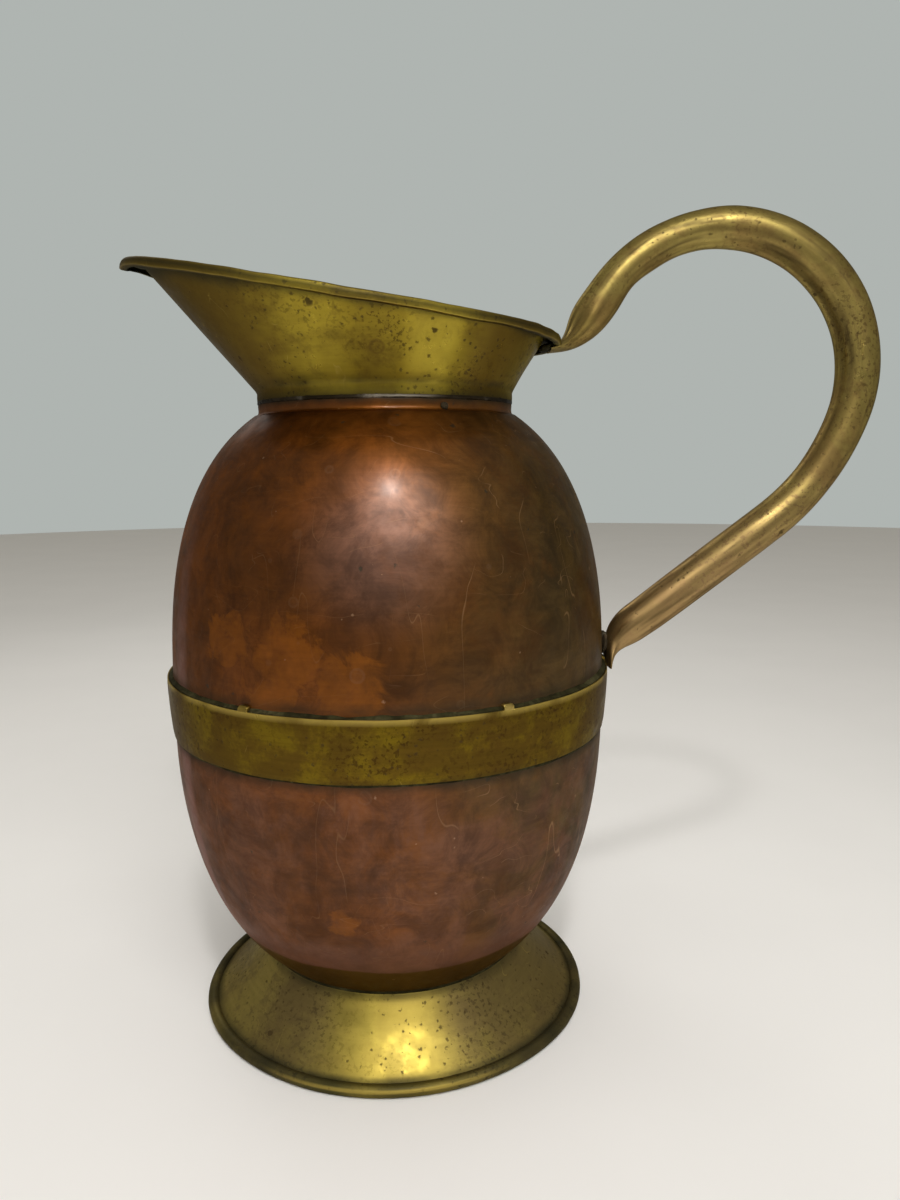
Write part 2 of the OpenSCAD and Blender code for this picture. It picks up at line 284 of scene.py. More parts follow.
class Graph:
    """Adds nodes to a tree and joins them, so that a finish reads as a list of effects."""

    def __init__(self, tree: bpy.types.NodeTree) -> None:
        """Starts on a tree."""
        self.tree = tree

    def add(self, kind: str, **settings: object) -> bpy.types.Node:
        """Adds a node and sets its properties."""
        node = self.tree.nodes.new(kind)
        for key, value in settings.items():
            setattr(node, key, value)
        return node

    def put(self, socket: bpy.types.NodeSocket, value: object) -> None:
        """Joins another socket to a socket, or sets its value.

        Args:
            socket: The input socket.
            value: An output socket, a number, or a colour or vector.
        """
        if isinstance(value, bpy.types.NodeSocket):
            self.tree.links.new(value, socket)
        elif isinstance(value, (tuple, list)) and len(value) == 3 and socket.type == "RGBA":
            socket.default_value = (*value, 1.0)
        else:
            socket.default_value = value

    def sum(self, operation: str, *values: object) -> bpy.types.NodeSocket:
        """A Math node."""
        node = self.add("ShaderNodeMath", operation=operation)
        for socket, value in zip(node.inputs, values):
            self.put(socket, value)
        return node.outputs[0]

    def span(self, value: object, low: object, high: object, to: tuple = (0.0, 1.0)) -> bpy.types.NodeSocket:
        """Maps a value from one span to another with a soft step.

        Args:
            value: The value.
            low: Where the step starts.
            high: Where the step ends.
            to: The values at both ends.

        Returns:
            The mapped value.
        """
        node = self.add("ShaderNodeMapRange", interpolation_type="SMOOTHSTEP")
        for key, item in zip(
            ("Value", "From Min", "From Max", "To Min", "To Max"), (value, low, high, *to)
        ):
            self.put(node.inputs[key], item)
        return node.outputs["Result"]

    def mix(self, factor: object, a: object, b: object, blend: str = "MIX") -> bpy.types.NodeSocket:
        """Mixes two colours.

        Args:
            factor: How much of the second.
            a: First colour.
            b: Second colour.
            blend: How they mix.

        Returns:
            The mixed colour.
        """
        node = self.add("ShaderNodeMix", data_type="RGBA", blend_type=blend)
        self.put(node.inputs[0], factor)
        self.put(node.inputs[6], a)
        self.put(node.inputs[7], b)
        return node.outputs[2]

    def blur(self, factor: object, a: object, b: object) -> bpy.types.NodeSocket:
        """Mixes two numbers.

        Args:
            factor: How much of the second.
            a: The first number.
            b: The second number.

        Returns:
            The mixed number.
        """
        node = self.add("ShaderNodeMix", data_type="FLOAT")
        self.put(node.inputs[0], factor)
        self.put(node.inputs[2], a)
        self.put(node.inputs[3], b)
        return node.outputs[0]

    def place(
        self,
        scale: tuple[float, float, float],
        turn: tuple = (0.0, 0.0, 0.0),
        at: tuple = (0.0, 0.0, 0.0),
    ) -> bpy.types.NodeSocket:
        """Object coordinates, stretched and turned.

        Args:
            scale: Stretch along each axis.
            turn: Turn about each axis, in degrees.
            at: Shift.

        Returns:
            The coordinates.
        """
        coords = self.add("ShaderNodeTexCoord")
        mapping = self.add("ShaderNodeMapping")
        self.put(mapping.inputs["Vector"], coords.outputs["Object"])
        mapping.inputs["Scale"].default_value = scale
        mapping.inputs["Rotation"].default_value = [math.radians(a) for a in turn]
        mapping.inputs["Location"].default_value = at
        return mapping.outputs["Vector"]

    def cloud(
        self,
        vector: object,
        scale: object,
        detail: float = 3.0,
        rough: float = 0.5,
        warp: float = 0.0,
    ) -> bpy.types.NodeSocket:
        """Noise.

        Args:
            vector: Coordinates.
            scale: Features to a metre.
            detail: Octaves.
            rough: Strength of the finer octaves.
            warp: Distortion.

        Returns:
            A value round 0.5.
        """
        node = self.add("ShaderNodeTexNoise")
        self.put(node.inputs["Vector"], vector)
        self.put(node.inputs["Scale"], scale)
        node.inputs["Detail"].default_value = detail
        node.inputs["Roughness"].default_value = rough
        node.inputs["Distortion"].default_value = warp
        return node.outputs["Fac"]

    def side(self, vector: object, turn: float, width: float) -> bpy.types.NodeSocket:
        """A soft upright band on one side of the jug.

        Args:
            vector: Coordinates.
            turn: Where the band is, in degrees from the front toward the handle.
            width: Half its width, in degrees.

        Returns:
            1 in the middle of the band, 0 outside it.
        """
        level = self.add("ShaderNodeVectorMath", operation="MULTIPLY")
        self.put(level.inputs[0], vector)
        level.inputs[1].default_value = (1.0, 1.0, 0.0)
        unit = self.add("ShaderNodeVectorMath", operation="NORMALIZE")
        self.put(unit.inputs[0], level.outputs[0])
        facing = self.add("ShaderNodeVectorMath", operation="DOT_PRODUCT")
        self.put(facing.inputs[0], unit.outputs[0])
        a = math.radians(turn)
        facing.inputs[1].default_value = (math.sin(a), -math.cos(a), 0.0)
        return self.span(facing.outputs["Value"], math.cos(math.radians(width)), 1.0)

    def mark(self, mark: Mark) -> bpy.types.NodeSocket:
        """Reads a mark off the mesh."""
        node = self.add("ShaderNodeAttribute", attribute_name=mark.value)
        return node.outputs["Fac"]

    def use(self, group: bpy.types.NodeTree, **values: object) -> bpy.types.Node:
        """Places a node group and sets its inputs, named with underscores for spaces."""
        node = self.add("ShaderNodeGroup", node_tree=group)
        for key, value in values.items():
            self.put(node.inputs[key.replace("_", " ").capitalize()], value)
        return node


class Effects:
    """Node groups for the effects that several finishes share, each made once."""

    def __init__(self) -> None:
        """Makes the groups."""
        self.blotch = self.blotch_group()
        self.pits = self.pits_group()
        self.scratches = self.scratch_group()
        self.rings = self.ring_group()

    def start(
        self, name: str, inputs: Sequence[tuple[str, str, object]], outputs: Sequence[tuple[str, str]]
    ) -> tuple[Graph, bpy.types.Node, bpy.types.Node]:
        """Starts a group with its sockets.

        Args:
            name: Name of the group.
            inputs: Name, socket type and first value of each input.
            outputs: Name and socket type of each output.

        Returns:
            The graph, its input node and its output node.
        """
        tree = bpy.data.node_groups.new(name, "ShaderNodeTree")
        for label, kind, value in inputs:
            socket = tree.interface.new_socket(label, in_out="INPUT", socket_type=kind)
            if value is not None:
                socket.default_value = value
        for label, kind in outputs:
            tree.interface.new_socket(label, in_out="OUTPUT", socket_type=kind)
        graph = Graph(tree)
        return graph, graph.add("NodeGroupInput"), graph.add("NodeGroupOutput")

    def blotch_group(self) -> bpy.types.NodeTree:
        """Tarnish in soft-edged blotches, broken up by a finer noise.

        Returns:
            The node group.
        """
        g, source, sink = self.start(
            "tarnish blotches",
            [
                ("Vector", "NodeSocketVector", None),
                ("Scale", "NodeSocketFloat", 30.0),
                ("Amount", "NodeSocketFloat", 0.5),
                ("Softness", "NodeSocketFloat", 0.1),
            ],
            [("Mask", "NodeSocketFloat")],
        )
        vector, scale = source.outputs["Vector"], source.outputs["Scale"]
        broad = g.cloud(vector, scale, 5.0, 0.62, 0.6)
        fine = g.cloud(vector, g.sum("MULTIPLY", scale, 9.0), 3.0, 0.6)
        both = g.blur(0.22, broad, fine)
        edge = g.blur(source.outputs["Amount"], 0.72, 0.28)
        soft = source.outputs["Softness"]
        mask = g.span(both, g.sum("SUBTRACT", edge, soft), g.sum("ADD", edge, soft))
        g.put(sink.inputs["Mask"], mask)
        return g.tree

    def pits_group(self) -> bpy.types.NodeTree:
        """Small dark corrosion pits, in drifts.

        Returns:
            The node group.
        """
        g, source, sink = self.start(
            "corrosion pits",
            [
                ("Vector", "NodeSocketVector", None),
                ("Scale", "NodeSocketFloat", 300.0),
                ("Size", "NodeSocketFloat", 0.25),
                ("Amount", "NodeSocketFloat", 0.4),
                ("Drift", "NodeSocketFloat", 25.0),
            ],
            [("Mask", "NodeSocketFloat")],
        )
        cells = g.add("ShaderNodeTexVoronoi", feature="F1")
        g.put(cells.inputs["Vector"], source.outputs["Vector"])
        g.put(cells.inputs["Scale"], source.outputs["Scale"])
        chance = g.add("ShaderNodeSeparateColor")
        g.put(chance.inputs[0], cells.outputs["Color"])
        ragged = g.cloud(source.outputs["Vector"], g.sum("MULTIPLY", source.outputs["Scale"], 2.6), 2.0, 0.6)
        size = g.sum("MULTIPLY", source.outputs["Size"], chance.outputs["Green"])
        size = g.sum("MULTIPLY", size, g.span(ragged, 0.3, 0.7, (0.45, 1.5)))
        dot = g.span(cells.outputs["Distance"], g.sum("MULTIPLY", size, 0.45), size, (1.0, 0.0))
        drift = g.cloud(source.outputs["Vector"], source.outputs["Drift"], 3.0, 0.6)
        level = g.sum("MULTIPLY", g.span(drift, 0.35, 0.68), source.outputs["Amount"])
        shown = g.sum("LESS_THAN", chance.outputs["Red"], level)
        g.put(sink.inputs["Mask"], g.sum("MULTIPLY", dot, shown))
        return g.tree

    def scratch_group(self) -> bpy.types.NodeTree:
        """Fine wandering scratches along the stretched direction of the coordinates.

        Returns:
            The node group.
        """
        g, source, sink = self.start(
            "fine scratches",
            [
                ("Vector", "NodeSocketVector", None),
                ("Scale", "NodeSocketFloat", 60.0),
                ("Width", "NodeSocketFloat", 0.012),
                ("Amount", "NodeSocketFloat", 0.5),
            ],
            [("Mask", "NodeSocketFloat")],
        )
        vector, scale = source.outputs["Vector"], source.outputs["Scale"]
        field = g.cloud(vector, scale, 1.5, 0.4, 0.3)
        off = g.sum("ABSOLUTE", g.sum("SUBTRACT", field, 0.5))
        line = g.span(off, 0.0, source.outputs["Width"], (1.0, 0.0))
        gaps = g.cloud(vector, g.sum("MULTIPLY", scale, 0.8), 3.0, 0.6)
        edge = g.blur(source.outputs["Amount"], 0.72, 0.35)
        keep = g.span(gaps, edge, g.sum("ADD", edge, 0.08))
        g.put(sink.inputs["Mask"], g.sum("MULTIPLY", line, keep))
        return g.tree

    def ring_group(self) -> bpy.types.NodeTree:
        """Round drying marks: faint rings with a dull centre.

        Returns:
            The node group.
        """
        g, source, sink = self.start(
            "drying rings",
            [
                ("Vector", "NodeSocketVector", None),
                ("Scale", "NodeSocketFloat", 60.0),
                ("Amount", "NodeSocketFloat", 0.3),
            ],
            [("Mask", "NodeSocketFloat")],
        )
        cells = g.add("ShaderNodeTexVoronoi", feature="F1")
        g.put(cells.inputs["Vector"], source.outputs["Vector"])
        g.put(cells.inputs["Scale"], source.outputs["Scale"])
        chance = g.add("ShaderNodeSeparateColor")
        g.put(chance.inputs[0], cells.outputs["Color"])
        size = g.blur(chance.outputs["Green"], 0.08, 0.26)
        far = g.sum("DIVIDE", cells.outputs["Distance"], size)
        rim = g.sum("MULTIPLY", g.span(far, 0.6, 0.85), g.span(far, 0.9, 1.1, (1.0, 0.0)))
        core = g.sum("MULTIPLY", g.span(far, 0.7, 0.9, (1.0, 0.0)), 0.4)
        shown = g.sum("LESS_THAN", chance.outputs["Red"], source.outputs["Amount"])
        g.put(sink.inputs["Mask"], g.sum("MULTIPLY", g.sum("ADD", rim, core), shown))
        return g.tree


def new_material(
    name: str, metallic: float, coat: float, coat_rough: float, edge: float = 1.0
) -> tuple[bpy.types.Material, Graph, bpy.types.Node]:
    """Starts a material with its shader.

    Args:
        name: Name of the finish.
        metallic: How metallic it is.
        coat: Strength of the hard sheen that old metal gets.
        coat_rough: Roughness of that sheen.
        edge: Brightness of the metal seen edge on.

    Returns:
        The material, its graph and its shader node.
    """
    material = bpy.data.materials.new(name)
    material.use_nodes = True
    g = Graph(material.node_tree)
    shader = material.node_tree.nodes["Principled BSDF"]
    shader.inputs["Metallic"].default_value = metallic
    shader.inputs["Coat Weight"].default_value = coat
    shader.inputs["Coat Roughness"].default_value = coat_rough
    shader.inputs["Specular Tint"].default_value = (edge, edge, edge, 1.0)
    return material, g, shader


@dataclass(frozen=True)
class CopperFinish:
    """Old copper: a brown skin, redder and more orange where it has rubbed through.

    The halo round the highlight, the pale upright streak, the warm glow above the foot and the dark band
    with a crisp edge below that glow are painted in at fixed places. They stand for light and for things
    mirrored in the copper (painted highlight and painted reflections), and don't follow the viewpoint. The
    purple of the lower bowl is in part a painted reflection as well.
    """

    name: str = "aged copper"
    dark: Colour = (0.104, 0.033, 0.004)
    warm: Colour = (0.168, 0.050, 0.006)
    olive: Colour = (0.090, 0.060, 0.018)
    purple: Colour = (0.150, 0.064, 0.034)
    reflected: Colour = (0.110, 0.055, 0.010)
    bright: Colour = (0.320, 0.100, 0.007)
    tin: Colour = (0.33, 0.32, 0.30)
    grime: Colour = (0.035, 0.034, 0.022)
    old_tin: Colour = (0.16, 0.14, 0.12)
    painted_halo: Colour = (0.190, 0.105, 0.082)
    painted_halo_at: tuple[float, float, float] = (0.004, -0.078, 0.204)
    painted_streak: Colour = (0.25, 0.115, 0.085)
    painted_streak_turn: float = -58.0
    scratch: Colour = (0.42, 0.24, 0.11)
    dust: Colour = (0.34, 0.22, 0.14)
    painted_glow_above_foot: Colour = (0.26, 0.125, 0.085)
    speck: Colour = (0.42, 0.25, 0.14)
    rough: float = 0.50
    sheen: float = 0.15
    rubbed: tuple[tuple[float, float, float, float], ...] = (
        (-0.052, -0.073, 0.172, 0.020),
        (-0.030, -0.084, 0.168, 0.024),
        (-0.036, -0.082, 0.152, 0.018),
        (-0.008, -0.089, 0.158, 0.022),
        (-0.014, -0.083, 0.069, 0.012),
    )

    def material(self, effects: Effects) -> bpy.types.Material:
        """Builds the material.

        Args:
            effects: The shared effects.

        Returns:
            The finished material.
        """
        material, g, shader = new_material(self.name, 0.97, 0.0, 0.23, 0.54)
        plain = g.place((1.0, 1.0, 1.0))
        broad = g.cloud(plain, 14.0, 4.0, 0.6, 0.5)
        colour = g.mix(g.span(broad, 0.38, 0.66), self.dark, self.warm)
        side = g.add("ShaderNodeSeparateXYZ")
        g.put(side.inputs[0], plain)
        lean = g.span(side.outputs["X"], -0.01, 0.075)
        colour = g.mix(g.sum("MULTIPLY", lean, 0.85), colour, self.olive)
        # The lower bowl is mixed toward a purple tone: partly patina, and kept darker in part as a painted
        # reflection of the floor in front.
        low = g.span(side.outputs["Z"], 0.112, 0.130, (0.75, 0.0))
        colour = g.mix(
            g.sum(
                "MULTIPLY",
                low,
                g.span(g.cloud(plain, 26.0, 6.0, 0.7, 0.8), 0.36, 0.60, (0.1, 1.0)),
            ),
            colour,
            self.purple,
        )
        # Painted highlight: a pinkish halo round the place where the key light shines on the shoulder,
        # strongest near its centre.
        painted_halo_distance = g.add("ShaderNodeVectorMath", operation="DISTANCE")
        g.put(painted_halo_distance.inputs[0], plain)
        painted_halo_distance.inputs[1].default_value = self.painted_halo_at
        painted_halo = g.span(painted_halo_distance.outputs["Value"], 0.004, 0.038, (0.60, 0.0))
        colour = g.mix(painted_halo, colour, self.painted_halo)
        mottle = g.cloud(plain, 65.0, 6.0, 0.72, 0.6)
        colour = g.mix(0.55, colour, g.span(mottle, 0.30, 0.70, (0.15, 0.85)), "OVERLAY")
        patch = None
        for x, y, z, size in self.rubbed:
            gap = g.add("ShaderNodeVectorMath", operation="DISTANCE")
            g.put(gap.inputs[0], plain)
            gap.inputs[1].default_value = (x, y, z)
            near = g.span(gap.outputs["Value"], 0.0, size, (1.0, 0.0))
            patch = near if patch is None else g.sum("MAXIMUM", patch, near)
        edge = g.cloud(plain, 75.0, 4.0, 0.6, 1.2)
        rubbed = g.span(g.sum("ADD", g.sum("MULTIPLY", patch, 0.55), edge), 0.72, 0.86)
        thin = g.use(effects.blotch, vector=plain, scale=90.0, amount=0.62, softness=0.10)
        rubbed = g.sum("MULTIPLY", rubbed, g.blur(thin.outputs[0], 0.35, 1.0))
        colour = g.mix(g.sum("MULTIPLY", rubbed, 0.55), colour, self.bright)
        ring = g.span(
            g.sum(
                "ABSOLUTE",
                g.sum("SUBTRACT", g.sum("ADD", g.sum("MULTIPLY", patch, 0.55), edge), 0.73),
            ),
            0.0,
            0.025,
            (1.0, 0.0),
        )
        colour = g.mix(g.sum("MULTIPLY", ring, 0.35), colour, self.dark)
        # Painted reflection: a pale upright streak on the left of the body, standing for a bright upright
        # thing mirrored in the copper.
        painted_streak = g.sum(
            "MULTIPLY",
            g.side(plain, self.painted_streak_turn, 5.0),
            g.span(side.outputs["Z"], 0.14, 0.235, (0.85, 0.0)),
        )
        colour = g.mix(painted_streak, colour, self.painted_streak)
        worn = g.use(effects.blotch, vector=plain, scale=34.0, amount=0.2, softness=0.10)
        colour = g.mix(g.sum("MULTIPLY", worn.outputs[0], 0.25), colour, self.bright)
        dull = g.use(
            effects.blotch,
            vector=g.place((1.0, 1.0, 1.0), at=(3.0, 1.0, 7.0)),
            scale=40.0,
            amount=0.35,
            softness=0.12,
        )
        colour = g.mix(g.sum("MULTIPLY", dull.outputs[0], 0.4), colour, self.dark)
        turned_lines = g.cloud(g.place((30.0, 30.0, 900.0)), 1.0, 3.0, 0.7)
        colour = g.mix(0.07, colour, g.span(turned_lines, 0.2, 0.8), "OVERLAY")
        pits = g.use(effects.pits, vector=plain, scale=260.0, size=0.3, amount=0.10, drift=22.0)
        colour = g.mix(g.sum("MULTIPLY", pits.outputs[0], 0.7), colour, self.grime)
        fine = g.use(
            effects.scratches,
            vector=g.place((1.0, 1.0, 0.16), (9.0, 6.0, 0.0)),
            scale=75.0,
            width=0.0045,
            amount=0.62,
        )
        cross = g.use(
            effects.scratches,
            vector=g.place((0.22, 1.0, 1.0), (0.0, 35.0, 0.0), (5.0, 2.0, 1.0)),
            scale=95.0,
            width=0.004,
            amount=0.55,
        )
        lines = g.sum("MAXIMUM", fine.outputs[0], cross.outputs[0])
        colour = g.mix(g.sum("MULTIPLY", lines, g.blur(lean, 0.15, 0.5)), colour, self.scratch)
        dust = g.use(
            effects.rings,
            vector=g.place((1.0, 1.0, 1.0), at=(1.3, 2.1, 3.7)),
            scale=95.0,
            amount=0.25,
        )
        colour = g.mix(g.sum("MULTIPLY", dust.outputs[0], 0.07), colour, self.dust)
        # Painted reflections low on the bowl: below a crisp line the copper takes the dark colour of the
        # mirrored foot, and above it a warm glow fades out.
        uneven = g.sum("MULTIPLY", g.sum("SUBTRACT", broad, 0.5), 0.006)
        level = g.sum("ADD", side.outputs["Z"], uneven)
        glow = g.span(level, 0.0455, 0.062, (0.55, 0.0))
        colour = g.mix(glow, colour, self.painted_glow_above_foot)
        painted_mirror_edge = g.span(level, 0.0446, 0.0454, (1.0, 0.0))
        colour = g.mix(painted_mirror_edge, colour, self.reflected)
        specks = g.use(
            effects.pits,
            vector=g.place((1.0, 1.0, 1.0), at=(6.0, 3.0, 2.0)),
            scale=300.0,
            size=0.22,
            amount=0.12,
            drift=30.0,
        )
        colour = g.mix(g.sum("MULTIPLY", specks.outputs[0], 0.5), colour, self.speck)
        colour = g.mix(g.mark(Mark.WEAR), colour, self.bright)
        grime = g.mark(Mark.GRIME)
        colour = g.mix(grime, colour, self.grime)
        lining = g.mark(Mark.LINING)
        colour = g.mix(lining, colour, g.mix(g.span(broad, 0.3, 0.7), self.old_tin, self.tin))
        g.put(shader.inputs["Base Color"], colour)
        cloudy = g.cloud(plain, 120.0, 4.0, 0.65)
        rough = g.span(cloudy, 0.3, 0.7, (self.rough - 0.06, self.rough + 0.08))
        rough = g.blur(rubbed, rough, self.rough + 0.1)
        rough = g.blur(grime, rough, 0.75)
        g.put(shader.inputs["Roughness"], rough)
        facing = g.add("ShaderNodeLayerWeight")
        sheen = g.span(facing.outputs["Facing"], 0.10, 0.80, (self.sheen, 0.07))
        g.put(
            shader.inputs["Coat Weight"],
            g.sum("MULTIPLY", sheen, g.blur(grime, g.span(cloudy, 0.25, 0.75, (1.15, 0.75)), 0.1)),
        )
        shader.inputs["Coat IOR"].default_value = 1.9
        bump = g.add("ShaderNodeBump")
        bump.inputs["Strength"].default_value = 0.25
        bump.inputs["Distance"].default_value = 0.0002
        height = g.sum("ADD", g.sum("MULTIPLY", cloudy, 0.35), g.sum("MULTIPLY", turned_lines, 0.08))
        height = g.sum("SUBTRACT", height, g.sum("MULTIPLY", lines, 0.4))
        height = g.sum("SUBTRACT", height, g.sum("MULTIPLY", pits.outputs[0], 0.8))
        g.put(bump.inputs["Height"], height)
        g.put(shader.inputs["Normal"], bump.outputs[0])
        return material


@dataclass(frozen=True)
class BrassFinish:
    """Tarnished sheet brass: olive gold, with brown blotches, pits and rubbed edges, and painted reflections
    as lighter and darker upright bands at listed angles.
    """

    name: str
    gold: Colour = (0.27, 0.20, 0.022)
    brown: Colour = (0.12, 0.078, 0.014)
    bright: Colour = (0.62, 0.46, 0.11)
    sheen: Colour = (0.50, 0.385, 0.045)
    grime: Colour = (0.030, 0.032, 0.018)
    rough: float = 0.33
    tarnish: float = 0.45
    tarnish_scale: float = 24.0
    pitted: float = 0.5
    pit_scale: float = 330.0
    rings: float = 0.12
    freckles: float = 0.75
    lines: tuple[float, float, float] = (30.0, 30.0, 800.0)
    lines_show: float = 0.08
    edge: float = 0.45
    low_blush: float = 0.0
    painted_reflection_bands: tuple[tuple[float, float, float], ...] = ()

    def material(self, effects: Effects) -> bpy.types.Material:
        """Builds the material.

        Args:
            effects: The shared effects.

        Returns:
            The finished material.
        """
        material, g, shader = new_material(self.name, 0.97, 0.05, 0.30, self.edge)
        plain = g.place((1.0, 1.0, 1.0))
        tarnish = g.use(
            effects.blotch,
            vector=plain,
            scale=self.tarnish_scale,
            amount=self.tarnish,
            softness=0.10,
        )
        small = g.use(
            effects.blotch,
            vector=g.place((1.0, 1.0, 1.0), at=(4.0, 2.0, 9.0)),
            scale=110.0,
            amount=0.32,
            softness=0.07,
        )
        colour = g.mix(g.sum("MULTIPLY", tarnish.outputs[0], 0.7), self.gold, self.brown)
        colour = g.mix(g.sum("MULTIPLY", small.outputs[0], 0.5), colour, self.brown)
        drift = g.span(g.cloud(g.place((1.0, 1.0, 1.0), at=(7.0, 7.0, 3.0)), 32.0, 3.0, 0.6), 0.36, 0.62)
        freckle = g.span(g.cloud(plain, 620.0, 3.0, 0.6), 0.55, 0.60)
        freckle = g.sum("MULTIPLY", g.sum("MULTIPLY", freckle, drift), self.freckles)
        colour = g.mix(freckle, colour, [c * 0.6 for c in self.brown])
        streaks = g.cloud(g.place(self.lines), 1.0, 4.0, 0.7)
        colour = g.mix(self.lines_show, colour, g.span(streaks, 0.3, 0.7), "OVERLAY")
        rings = g.use(effects.rings, vector=plain, scale=70.0, amount=self.rings)
        colour = g.mix(g.sum("MULTIPLY", rings.outputs[0], 0.55), colour, self.brown)
        # Painted reflections: soft upright bands at fixed angles round the jug, lightened toward the sheen
        # colour or darkened toward brown.
        for turn, width, lift in self.painted_reflection_bands:
            band = g.side(plain, turn, width)
            target = self.sheen if lift > 0.0 else self.brown
            colour = g.mix(g.sum("MULTIPLY", band, abs(lift)), colour, target)
        if self.low_blush:
            height = g.add("ShaderNodeSeparateXYZ")
            g.put(height.inputs[0], plain)
            blush = g.span(height.outputs["Z"], 0.17, 0.25, (self.low_blush, 0.0))
            colour = g.mix(blush, colour, (0.44, 0.27, 0.135))
        pits = g.use(
            effects.pits,
            vector=plain,
            scale=self.pit_scale,
            size=0.46,
            amount=self.pitted,
            drift=38.0,
        )
        large = g.use(
            effects.pits,
            vector=g.place((1.0, 1.0, 1.0), at=(2.0, 7.0, 1.0)),
            scale=190.0,
            size=0.36,
            amount=0.11,
            drift=24.0,
        )
        spots = g.sum("MAXIMUM", g.sum("MULTIPLY", pits.outputs[0], 0.75), large.outputs[0])
        colour = g.mix(g.sum("MULTIPLY", spots, 0.75), colour, (0.070, 0.045, 0.018))
        fine = g.use(
            effects.scratches,
            vector=g.place((1.0, 1.0, 0.4), (25.0, 10.0, 0.0)),
            scale=90.0,
            width=0.006,
            amount=0.4,
        )
        colour = g.mix(g.sum("MULTIPLY", fine.outputs[0], 0.35), colour, self.bright)
        colour = g.mix(g.mark(Mark.WEAR), colour, self.bright)
        grime = g.mark(Mark.GRIME)
        colour = g.mix(grime, colour, self.grime)
        g.put(shader.inputs["Base Color"], colour)
        cloudy = g.cloud(plain, 160.0, 4.0, 0.65)
        rough = g.span(cloudy, 0.3, 0.7, (self.rough - 0.07, self.rough + 0.09))
        rough = g.blur(tarnish.outputs[0], rough, self.rough + 0.12)
        rough = g.blur(spots, rough, 0.7)
        rough = g.blur(grime, rough, 0.8)
        g.put(shader.inputs["Roughness"], rough)
        bump = g.add("ShaderNodeBump")
        bump.inputs["Strength"].default_value = 0.3
        bump.inputs["Distance"].default_value = 0.00025
        height = g.sum("ADD", g.sum("MULTIPLY", cloudy, 0.35), g.sum("MULTIPLY", streaks, 0.08))
        height = g.sum("SUBTRACT", height, g.sum("MULTIPLY", spots, 0.9))
        height = g.sum("SUBTRACT", height, g.sum("MULTIPLY", fine.outputs[0], 0.3))
        g.put(bump.inputs["Height"], height)
        g.put(shader.inputs["Normal"], bump.outputs[0])
        return material


@dataclass(frozen=True)
class SolderFinish:
    """Soft metal run into a joint: grainy, dull, with darker and paler patches."""

    name: str
    body: Colour
    dark: Colour
    pale: Colour
    metallic: float = 0.7
    rough: float = 0.5
    scale: float = 180.0

    def material(self, effects: Effects) -> bpy.types.Material:
        """Builds the material.

        Args:
            effects: The shared effects.

        Returns:
            The finished material.
        """
        material, g, shader = new_material(self.name, self.metallic, 0.0, 0.4, 0.3)
        shader.inputs["Specular IOR Level"].default_value = 0.08
        plain = g.place((1.0, 1.0, 1.0))
        grain = g.cloud(plain, self.scale, 5.0, 0.65, 0.4)
        colour = g.mix(g.span(grain, 0.35, 0.7), self.dark, self.body)
        patches = g.use(effects.blotch, vector=plain, scale=self.scale * 0.5, amount=0.3, softness=0.08)
        colour = g.mix(g.sum("MULTIPLY", patches.outputs[0], 0.7), colour, self.pale)
        colour = g.mix(g.mark(Mark.WEAR), colour, self.pale)
        colour = g.mix(g.mark(Mark.GRIME), colour, self.dark)
        g.put(shader.inputs["Base Color"], colour)
        g.put(shader.inputs["Roughness"], g.span(grain, 0.3, 0.7, (self.rough + 0.12, self.rough - 0.08)))
        bump = g.add("ShaderNodeBump")
        bump.inputs["Strength"].default_value = 0.5
        bump.inputs["Distance"].default_value = 0.0003
        g.put(bump.inputs["Height"], grain)
        g.put(shader.inputs["Normal"], bump.outputs[0])
        return material


@dataclass(frozen=True)
class StageFinish:
    """Matt pale paint of the stage floor."""

    name: str = "stage paint"
    paint: Colour = (0.86, 0.845, 0.83)
    rough: float = 0.6

    def material(self) -> bpy.types.Material:
        """Builds the material.

        Returns:
            The finished material.
        """
        material, g, shader = new_material(self.name, 0.0, 0.0, 0.3)
        shade = g.span(g.cloud(g.place((1.0, 1.0, 1.0)), 9.0, 3.0, 0.5), 0.3, 0.7, (0.0, 0.04))
        g.put(shader.inputs["Base Color"], g.mix(shade, self.paint, (0.5, 0.5, 0.5)))
        shader.inputs["Roughness"].default_value = self.rough
        return material


@dataclass(frozen=True)
class Finishes:
    """Every material of the jug."""

    copper: bpy.types.Material
    collar: bpy.types.Material
    band: bpy.types.Material
    foot: bpy.types.Material
    handle: bpy.types.Material
    cleat: bpy.types.Material
    tin: bpy.types.Material
    solder: bpy.types.Material
    green_solder: bpy.types.Material
    wire: bpy.types.Material


